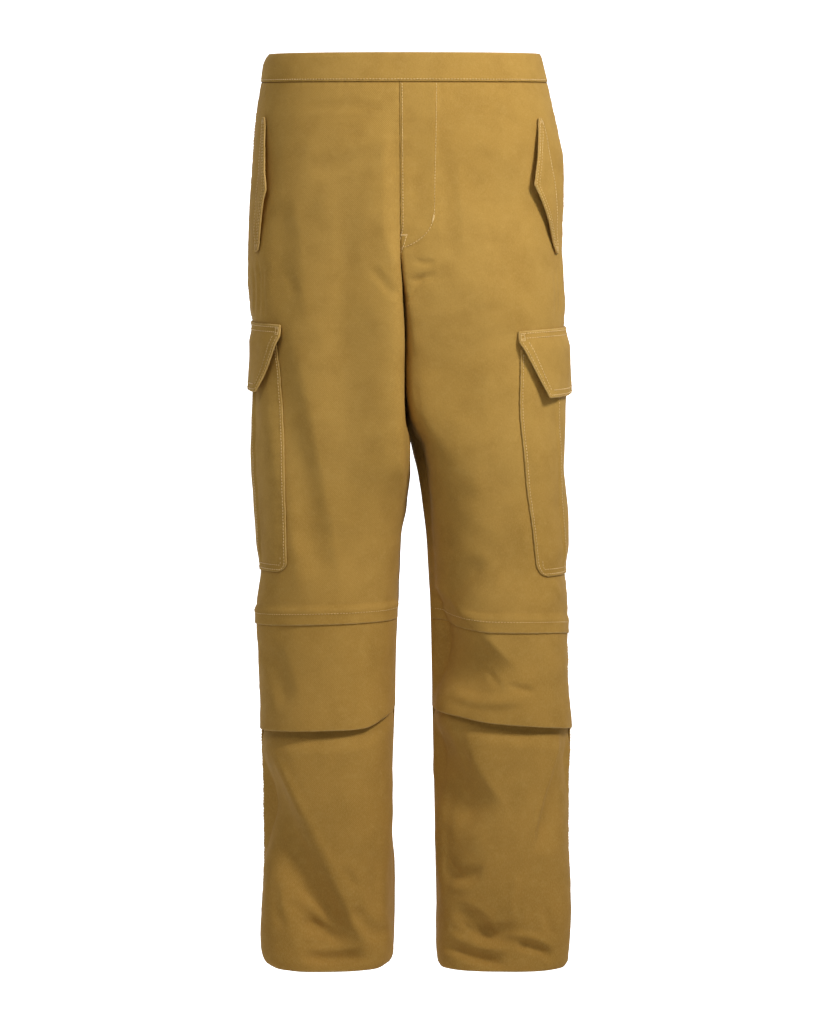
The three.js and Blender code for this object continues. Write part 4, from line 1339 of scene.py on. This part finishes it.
def sew_fly():
    """The curved fly row, its bar tacks, the row along the folded edge and the rows below it."""
    place = upper_front_at("left")

    def at_inset(inset, z):
        length, _ = measures("left", 1, z)
        return on_cloth(place, share_at("left", 1, z, length - inset), z)

    curve = np.linspace(0, 1, 90)
    z = mix(FLY_ROW_TOP, FLY_ROW_FOOT, np.sin(curve * math.pi / 2))
    curve_row = at_inset(np.maximum(fly_width(z) - FLY_ROW, FLY_ROW_LEAST), z)
    sew("thread_fly_curve", [curve_row], "fly row")
    fold_row = at_inset(FOLD_ROW, np.linspace(FLY_ROW_TOP, FOLD_ROW_FOOT, 90))
    second_row = at_inset(TWIN_ROW, np.linspace(*LAP_ROW_ENDS, 26))
    sew("thread_fly", [fold_row, second_row])
    level = np.linspace(*SIDE_TACK_ENDS, TACK_STEPS)
    tacks = [at_inset(fly_width(level) - FLY_ROW + shift, level) for shift in (-0.5, 0.5)]
    bar = np.linspace(*BAR_ENDS, TACK_STEPS)
    tacks += [at_inset(bar, np.full(TACK_STEPS, level)) for level in BAR_LEVELS]
    sew("thread_fly_tacks", tacks, "fly tack")


# The hip flap's tacks: zigzag rows over its upper end and bars up its foot, as shares of its height
# and width.
HIP_TACK_STEPS = 8
HIP_TACK_ROWS = (0.0, 0.012)
HIP_TACK_ACROSS = (0.1, 0.9)
HIP_TACK_DOWN = (0.008, 0.03)
HIP_BAR_DOWN = (0.008, 0.045)
HIP_BARS = (0.2, 0.5, 0.8)


def hip_row(side, inset, from_free):
    """A line down the hip flap at an inset from its free or its sewn edge."""
    down = np.linspace(ROW_START, 1 - ROW_START, 80)
    share = np.clip(inset / hip_forward(side, down), 0, 0.9)
    return on_cloth(hip_flap_at(side), 1 - share if from_free else share, down)


def sew_hip_flap(side):
    rows = [hip_row(side, HIP_ROW, True), hip_row(side, EDGE_ROW, False)]
    sew(f"thread_hip_flap_{side}", rows)
    sew(f"thread_hip_flap_inner_{side}", [hip_row(side, HIP_TWIN_ROW, True)], "fine row")
    place = hip_flap_at(side)
    across = np.linspace(*HIP_TACK_ACROSS, HIP_TACK_STEPS)
    peak = np.abs(np.linspace(-1, 1, HIP_TACK_STEPS))
    tacks = [on_cloth(place, across, mix(*HIP_TACK_DOWN, peak) + low) for low in HIP_TACK_ROWS]
    foot = 1 - np.linspace(*HIP_BAR_DOWN, HIP_TACK_STEPS)
    tacks += [on_cloth(place, share, foot) for share in HIP_BARS]
    sew(f"thread_hip_flap_tacks_{side}", tacks, "hip tack")


# The cargo flap's width as sewn, and its tacks: where they start at each end, their width, their rows
# down and the ends of their upright bars, as shares.
FLAP_SEWN_WIDTH = 185
FLAP_TACKS = (0.008, 0.965)
FLAP_TACK_WIDTH = 0.027
FLAP_TACK_ROWS = (0.025, 0.05, 0.11, 0.135)
FLAP_BARS = (0.002, 0.025)
FLAP_BAR_ENDS = (0.03, 0.13)


def sew_flap(side):
    """Double rows round the cargo flap, and tacks where its ends are sewn down."""
    place = flap_at(side)
    lines = []
    for inset in (EDGE_ROW, TWIN_ROW):
        share = inset / FLAP_SEWN_WIDTH
        depth = inset / FLAP_DEPTH
        down = np.linspace(FLAP_STAND / FLAP_DEPTH, 1 - depth, 40)
        lines.append(on_cloth(place, share * FLAP_ROW_START, down))
        lines.append(on_cloth(place, 1 - share * FLAP_ROW_START, down))
        lines.append(on_cloth(place, np.linspace(share * 2, 1 - share * 2, 60), 1 - depth))
        lines.append(on_cloth(place, np.linspace(share, 1 - share, 90), depth))
    sew(f"thread_cargo_flap_{side}", lines)
    tacks = []
    for near in FLAP_TACKS:
        across = np.linspace(near, near + FLAP_TACK_WIDTH, 8)
        tacks += [on_cloth(place, across, row) for row in FLAP_TACK_ROWS]
        tacks += [on_cloth(place, near + bar, np.linspace(*FLAP_BAR_ENDS, 8)) for bar in FLAP_BARS]
    sew(f"thread_cargo_flap_tacks_{side}", tacks, "flap tack")


def sew_pocket(side):
    """A row along the cargo pocket's edges, double at its foot, and one beside each pleat fold."""
    place = pocket_at(side)
    lines = []
    fine = []
    outer_row = (POCKET_ROW, lines, POCKET_ROW_START)
    inner_row = (POCKET_TWIN_ROW, fine, POCKET_TWIN_START)
    for inset, rows, start in (outer_row, inner_row):
        share = inset / POCKET_WIDTH
        down = np.linspace(start, 1 - inset / POCKET_HEIGHT, 100)
        rows.append(on_cloth(place, share, down))
        rows.append(on_cloth(place, 1 - share, down))
        rows.append(on_cloth(place, np.linspace(share, 1 - share, 60), down[-1]))
    for fold in (PLEAT_FRONT + PLEAT_ROW, PLEAT_BACK - PLEAT_ROW):
        fine.append(on_cloth(place, fold, np.linspace(*PLEAT_ROW_DOWN, 100)))
    sew(f"thread_cargo_pocket_{side}", lines)
    sew(f"thread_cargo_pocket_inner_{side}", fine, "fine row")


# The levels at which the back's rows start, and where those of the inseam, the side seam's second
# row and the seat end.
BACK_ROW_TOP = -36
BACK_ROW_FOOT = -1040
SIDE_TWIN_FOOT = -300
SEAT_ROW_FOOT = -294
SEAT_TWIN_FOOT = -290


def sew_back(side):
    """A row down the side seam, doubled above the pocket, and two beside the seat seam."""
    def place(share, z):
        return panel(side, -1, z, share, 0.0)

    def beside(inset, end, at_centre):
        z = np.linspace(BACK_ROW_TOP, end, 240)
        length, _ = measures(side, -1, z)
        distance = length - inset if at_centre else np.full_like(z, inset)
        return on_cloth(place, share_at(side, -1, z, distance), z)

    lines = [beside(FOLD_ROW, BACK_ROW_FOOT, False), beside(BACK_TWIN_ROW, SIDE_TWIN_FOOT, False)]
    if side == "left":
        lines += [beside(FOLD_ROW, SEAT_ROW_FOOT, True), beside(BACK_TWIN_ROW, SEAT_TWIN_FOOT, True)]
    sew(f"thread_back_{side}", lines)


def sew_knee(side):
    """The row that closes the sewn band over the knee panel."""
    across = np.linspace(0.02, 0.98, 80)
    level = knee_edge(side, "top", across) + KNEE_BAND - 3
    sew(f"thread_knee_{side}", [on_cloth(upper_front_at(side), across, level)], "knee row")


class Nodes:
    """A material's node tree, with short calls to add nodes and join them."""

    def __init__(self, name):
        self.material = bpy.data.materials.new(name)
        self.material.use_nodes = True
        self.tree = self.material.node_tree
        self.shader = self.tree.nodes["Principled BSDF"]

    def add(self, kind, inputs=(), **settings):
        node = self.tree.nodes.new(kind)
        for key, value in settings.items():
            setattr(node, key, value)
        for socket, value in dict(inputs).items():
            self.put(node.inputs[socket], value)
        return node

    def put(self, socket, value):
        if isinstance(value, bpy.types.NodeSocket):
            self.tree.links.new(value, socket)
        else:
            socket.default_value = value

    def shade(self, inputs):
        for socket, value in inputs.items():
            self.put(self.shader.inputs[socket], value)

    def noise(self, place, scale, detail=3.0, roughness=0.55, stretch=None):
        if stretch:
            place = self.add("ShaderNodeMapping", {"Vector": place, "Scale": stretch}).outputs[0]
        inputs = {"Vector": place, "Scale": scale, "Detail": detail, "Roughness": roughness}
        return self.add("ShaderNodeTexNoise", inputs).outputs["Fac"]

    def ranged(self, value, measured, wanted):
        inputs = {"Value": value, 1: measured[0], 2: measured[1], 3: wanted[0], 4: wanted[1]}
        return self.add("ShaderNodeMapRange", inputs).outputs[0]

    def math(self, operation, a, b):
        return self.add("ShaderNodeMath", {0: a, 1: b}, operation=operation).outputs[0]

    def tinted(self, base, factor, tint):
        inputs = {"Factor": factor, 6: base, 7: tint}
        return self.add("ShaderNodeMix", inputs, data_type="RGBA").outputs[2]

    def bump(self, height, strength, distance, normal=None):
        inputs = {"Height": height, "Strength": strength, "Distance": distance}
        if normal:
            inputs["Normal"] = normal
        return self.add("ShaderNodeBump", inputs).outputs[0]


COTTON_COLOUR = (0.40, 0.232, 0.05, 1)
COTTON_LIGHT = (0.49, 0.305, 0.082, 1)
COTTON_DARK = (0.29, 0.158, 0.03, 1)
COTTON_PALE = (0.60, 0.42, 0.17, 1)
# Painted shade: the darker, redder tint laid on the lower legs, which lie in less light.
PAINTED_LOW_SHADE = (0.33, 0.162, 0.029, 1)
# Painted shade: the near-black brown laid in the dark line under the waistband.
PAINTED_SEAM_SHADE = (0.07, 0.03, 0.004, 1)
SHEEN_TINT = (0.9, 0.62, 0.28, 1)
THREAD_COLOUR = (0.66, 0.44, 0.155, 1)
THREAD_LIGHT = (0.86, 0.62, 0.27, 1)
THREAD_DARK = (0.42, 0.25, 0.07, 1)
PLATING_COLOUR = (0.78, 0.76, 0.71, 1)
PLATING_DULL = (0.5, 0.46, 0.38, 1)
PAPER_COLOUR = (0.86, 0.86, 0.86, 1)
PAPER_LIGHT = (0.9, 0.9, 0.89, 1)

# How many twill ribs lie in a metre, how high ribs, yarn and crumples stand in metres, the levels
# between which painted shade makes the cloth darker and redder toward the hems, how much of it is
# rubbed pale at its edges, and how much painted shade darkens the line under the waistband.
TWILL_SCALE = 0.31 / 0.0011
RIB_HEIGHT = 0.00022
YARN_HEIGHT = 0.0003
CRUMPLE_HEIGHT = 0.0011
PAINTED_LOW_SHADE_LEVELS = (-1.0, -0.45)
PAINTED_LOW_SHADE_SHARES = (0.62, 0.0)
WORN_SHARE = 0.5
PAINTED_SEAM_SHADE_SHARE = 0.85


def cotton_material():
    """Cotton twill: ribs, yarn flecks, fading, rubbed pale edges, and painted shade under the
    waistband and on the lower legs.
    """
    n = Nodes("cotton_twill")
    flat = n.add("ShaderNodeUVMap", uv_map="cloth").outputs[0]
    place = n.add("ShaderNodeTexCoord").outputs["Object"]
    wear_and_painted_shade = n.add("ShaderNodeAttribute", attribute_name="wear_and_painted_shade").outputs["Fac"]
    broad = n.noise(place, scale=7.0, detail=2.0)
    patches = n.noise(place, scale=34.0, detail=4.0)
    flecks = n.noise(flat, scale=900.0, roughness=0.7, stretch=(1.0, 0.35, 1.0))
    yarn = n.noise(flat, scale=1500.0, detail=2.0, roughness=0.6, stretch=(0.25, 1.0, 1.0))
    mottle = n.noise(place, scale=95.0, detail=5.0, roughness=0.7)
    height = n.add("ShaderNodeSeparateXYZ", {0: place}).outputs["Z"]
    tints = (
        (broad, (0.35, 0.7), (0.0, 0.35), COTTON_LIGHT),
        # Painted shade: darker and redder toward the hems.
        (height, PAINTED_LOW_SHADE_LEVELS, PAINTED_LOW_SHADE_SHARES, PAINTED_LOW_SHADE),
        (patches, (0.45, 0.75), (0.0, 0.5), COTTON_DARK),
        (mottle, (0.5, 0.8), (0.0, 0.45), COTTON_LIGHT),
        (flecks, (0.45, 0.8), (0.0, 0.7), COTTON_LIGHT),
        (yarn, (0.5, 0.85), (0.0, 0.6), COTTON_DARK),
    )
    colour = COTTON_COLOUR
    for value, measured, share, tint in tints:
        colour = n.tinted(colour, n.ranged(value, measured, share), tint)
    uneven = n.ranged(n.noise(place, scale=160.0, detail=4.0), (0.3, 0.7), (0.25, 1.0))
    rubbed = n.math("MULTIPLY", n.math("MAXIMUM", wear_and_painted_shade, 0.0), uneven)
    colour = n.tinted(colour, n.math("MULTIPLY", rubbed, WORN_SHARE), COTTON_PALE)
    # Painted shade: the line under the waistband darkened toward a near-black brown.
    colour = n.tinted(colour, n.ranged(wear_and_painted_shade, (-1.0, 0.0), (PAINTED_SEAM_SHADE_SHARE, 0.0)), PAINTED_SEAM_SHADE)
    rib_settings = {"wave_type": "BANDS", "bands_direction": "DIAGONAL", "wave_profile": "SIN"}
    rib_inputs = {"Vector": flat, "Scale": TWILL_SCALE, "Distortion": 0.6, "Detail": 1.0}
    ribs = n.add("ShaderNodeTexWave", rib_inputs, **rib_settings).outputs["Fac"]
    crumples = n.noise(place, scale=60.0, detail=5.0, roughness=0.6)
    normal = n.bump(crumples, strength=0.35, distance=CRUMPLE_HEIGHT)
    normal = n.bump(n.noise(flat, scale=420.0), 0.4, YARN_HEIGHT, normal)
    normal = n.bump(ribs, 0.45, RIB_HEIGHT, normal)
    n.shade({
        "Base Color": colour,
        "Roughness": n.ranged(flecks, (0.3, 0.8), (0.82, 0.94)),
        "Specular IOR Level": 0.1,
        "Sheen Weight": 0.1,
        "Sheen Tint": SHEEN_TINT,
        "Sheen Roughness": 0.45,
        "Normal": normal,
    })
    return n.material


# How high the fine marks of thread and plating stand, in metres.
FINE_HEIGHT = 0.0001


def thread_material():
    """Sewing thread: paler than the cloth, with the slant of its twisted strands."""
    n = Nodes("sewing_thread")
    place = n.add("ShaderNodeTexCoord").outputs["Object"]
    twist_inputs = {"Vector": place, "Scale": 500.0, "Distortion": 1.0}
    twist = n.add("ShaderNodeTexWave", twist_inputs, bands_direction="DIAGONAL").outputs["Fac"]
    patches = n.noise(place, scale=45.0)
    colour = n.tinted(THREAD_COLOUR, n.ranged(patches, (0.35, 0.7), (0.0, 1.0)), THREAD_LIGHT)
    n.shade({
        "Base Color": n.tinted(colour, n.ranged(twist, (0.0, 1.0), (0.3, 0.0)), THREAD_DARK),
        "Roughness": n.ranged(patches, (0.3, 0.7), (0.5, 0.65)),
        "Sheen Weight": 0.1,
        "Normal": n.bump(twist, strength=0.5, distance=FINE_HEIGHT),
    })
    return n.material


def metal_material():
    """Plated snap metal: bright, with fine turned marks and dull patches from handling."""
    n = Nodes("snap_plating")
    place = n.add("ShaderNodeTexCoord").outputs["Object"]
    dull = n.noise(place, scale=400.0, detail=4.0)
    marks = n.noise(place, scale=1600.0, detail=2.0)
    n.shade({
        "Base Color": n.tinted(PLATING_COLOUR, n.ranged(dull, (0.45, 0.75), (0.0, 0.7)), PLATING_DULL),
        "Metallic": 1.0,
        "Roughness": n.ranged(dull, (0.3, 0.7), (0.2, 0.42)),
        "Normal": n.bump(marks, strength=0.2, distance=FINE_HEIGHT),
    })
    return n.material


COTTON = cotton_material()
THREAD = thread_material()
METAL = metal_material()

# The stage in metres: its floor's level, its front and back, where its even strips start, the
# backdrop's top, half its width and the radius of its curve.
FLOOR_Z = -1.30
FLOOR_FRONT = -5.0
STRIPS_FRONT = -1.0
BACKDROP_Y = 7.0
BACKDROP_TOP = 8.0
STAGE_HALF_WIDTH = 6.0
STAGE_CURVE = 1.6
GLOW_DEPTHS = (0.2, 1.4)
GLOW_STRENGTHS = (0.05, 1.1)


def stage_material():
    """Pale matt paper with a faint grain, lit from within more and more behind the garment."""
    n = Nodes("pale_paper")
    place = n.add("ShaderNodeTexCoord").outputs["Object"]
    grain = n.noise(place, scale=30.0, detail=5.0)
    along_y = n.add("ShaderNodeSeparateXYZ", {0: place}).outputs["Y"]
    n.shade({
        "Base Color": n.tinted(PAPER_COLOUR, n.ranged(grain, (0.4, 0.7), (0.0, 1.0)), PAPER_LIGHT),
        "Roughness": n.ranged(grain, (0.3, 0.7), (0.85, 0.95)),
        "Emission Color": (1, 1, 1, 1),
        "Emission Strength": n.ranged(along_y, GLOW_DEPTHS, GLOW_STRENGTHS),
    })
    return n.material


def make_stage():
    """A floor that curves up into a backdrop far behind."""
    turn = np.linspace(0, math.pi / 2, 16)
    flat_end = BACKDROP_Y - STAGE_CURVE
    profile = [(FLOOR_FRONT, 0.0)]
    profile += [(y, 0.0) for y in np.linspace(STRIPS_FRONT, flat_end, 12)]
    profile += [(flat_end + STAGE_CURVE * math.sin(a), STAGE_CURVE * (1 - math.cos(a))) for a in turn]
    profile += [(BACKDROP_Y, BACKDROP_TOP)]
    vertices = [
        (x * 1000, y * 1000, (FLOOR_Z + z) * 1000)
        for y, z in profile
        for x in (-STAGE_HALF_WIDTH, STAGE_HALF_WIDTH)
    ]
    faces = [(2 * i, 2 * i + 1, 2 * i + 3, 2 * i + 2) for i in range(len(profile) - 1)]
    stage = make_mesh("stage_paper", vertices, faces)
    stage.data.materials.append(stage_material())


# The camera looks along +y at the middle of the photo, from a distance in metres.
CAMERA_DISTANCE = 3.4
CAMERA_X = 0.0043
CAMERA_Z = -0.530
METRES_PER_PIXEL = 0.001158
IMAGE_HEIGHT = 1024
SENSOR = 24.0


def make_camera():
    data = bpy.data.cameras.new("camera")
    data.sensor_fit = "VERTICAL"
    data.sensor_height = SENSOR
    data.lens = SENSOR * CAMERA_DISTANCE / (IMAGE_HEIGHT * METRES_PER_PIXEL)
    camera = bpy.data.objects.new("camera", data)
    camera.location = (CAMERA_X, -CAMERA_DISTANCE, CAMERA_Z)
    camera.rotation_euler = (math.pi / 2, 0, 0)
    bpy.context.scene.collection.objects.link(camera)
    bpy.context.scene.camera = camera


def make_lamp(name, place, aim, size, watts, spread):
    """A soft square lamp that points at a place, with a beam so many degrees wide."""
    data = bpy.data.lights.new(name, "AREA")
    data.size = size
    data.energy = watts
    data.spread = math.radians(spread)
    lamp = bpy.data.objects.new(name, data)
    lamp.location = place
    way = [a - b for a, b in zip(aim, place)]
    level = math.hypot(way[0], way[1])
    lamp.rotation_euler = (math.atan2(level, -way[2]), 0, math.atan2(way[1], way[0]) - math.pi / 2)
    bpy.context.scene.collection.objects.link(lamp)


# Lamps: name, place and aim in metres, size in metres, watts and beam in degrees.
LAMPS = (
    ("key", (1.25, -1.35, 0.85), (0, 0, -0.29), 0.5, 6.9, 76),
    ("fill", (-0.9, -2.4, 1.5), (0, 0, -0.1), 1.2, 3.5, 70),
)
ROOM_COLOUR = (1.0, 0.99, 0.97, 1)
ROOM_LEVELS = (-0.5, 0.5)
ROOM_STRENGTHS = (0.04, 0.32)


def light_scene():
    """A soft key from the front right and above, a broad fill, and a pale room, darker below."""
    for lamp in LAMPS:
        make_lamp(*lamp)
    world = bpy.data.worlds.new("room")
    world.use_nodes = True
    tree = world.node_tree
    background = tree.nodes["Background"]
    background.inputs["Color"].default_value = ROOM_COLOUR
    direction = tree.nodes.new("ShaderNodeTexCoord")
    parts = tree.nodes.new("ShaderNodeSeparateXYZ")
    strength = tree.nodes.new("ShaderNodeMapRange")
    for socket, value in zip(range(1, 5), ROOM_LEVELS + ROOM_STRENGTHS):
        strength.inputs[socket].default_value = value
    tree.links.new(direction.outputs["Generated"], parts.inputs[0])
    tree.links.new(parts.outputs["Z"], strength.inputs[0])
    tree.links.new(strength.outputs[0], background.inputs["Strength"])
    bpy.context.scene.world = world
    bpy.context.scene.view_settings.view_transform = "Standard"


SNAP_ACROSS = {"front": 0.09, "rear": 0.91}


def make_garment():
    make_waistband()
    sew_waistband()
    sew_fly()
    for side in SIDES:
        make_upper_front(side)
        make_back(side)
        make_knee(side)
        make_shin(side)
        make_hip_flap(side)
        make_pocket(side)
        make_flap(side)
        for end, across in SNAP_ACROSS.items():
            make_snap(f"snap_{side}_{end}", side, across)
        sew_hip_flap(side)
        sew_flap(side)
        sew_pocket(side)
        sew_back(side)
        sew_knee(side)


make_camera()
light_scene()
make_stage()
make_garment()
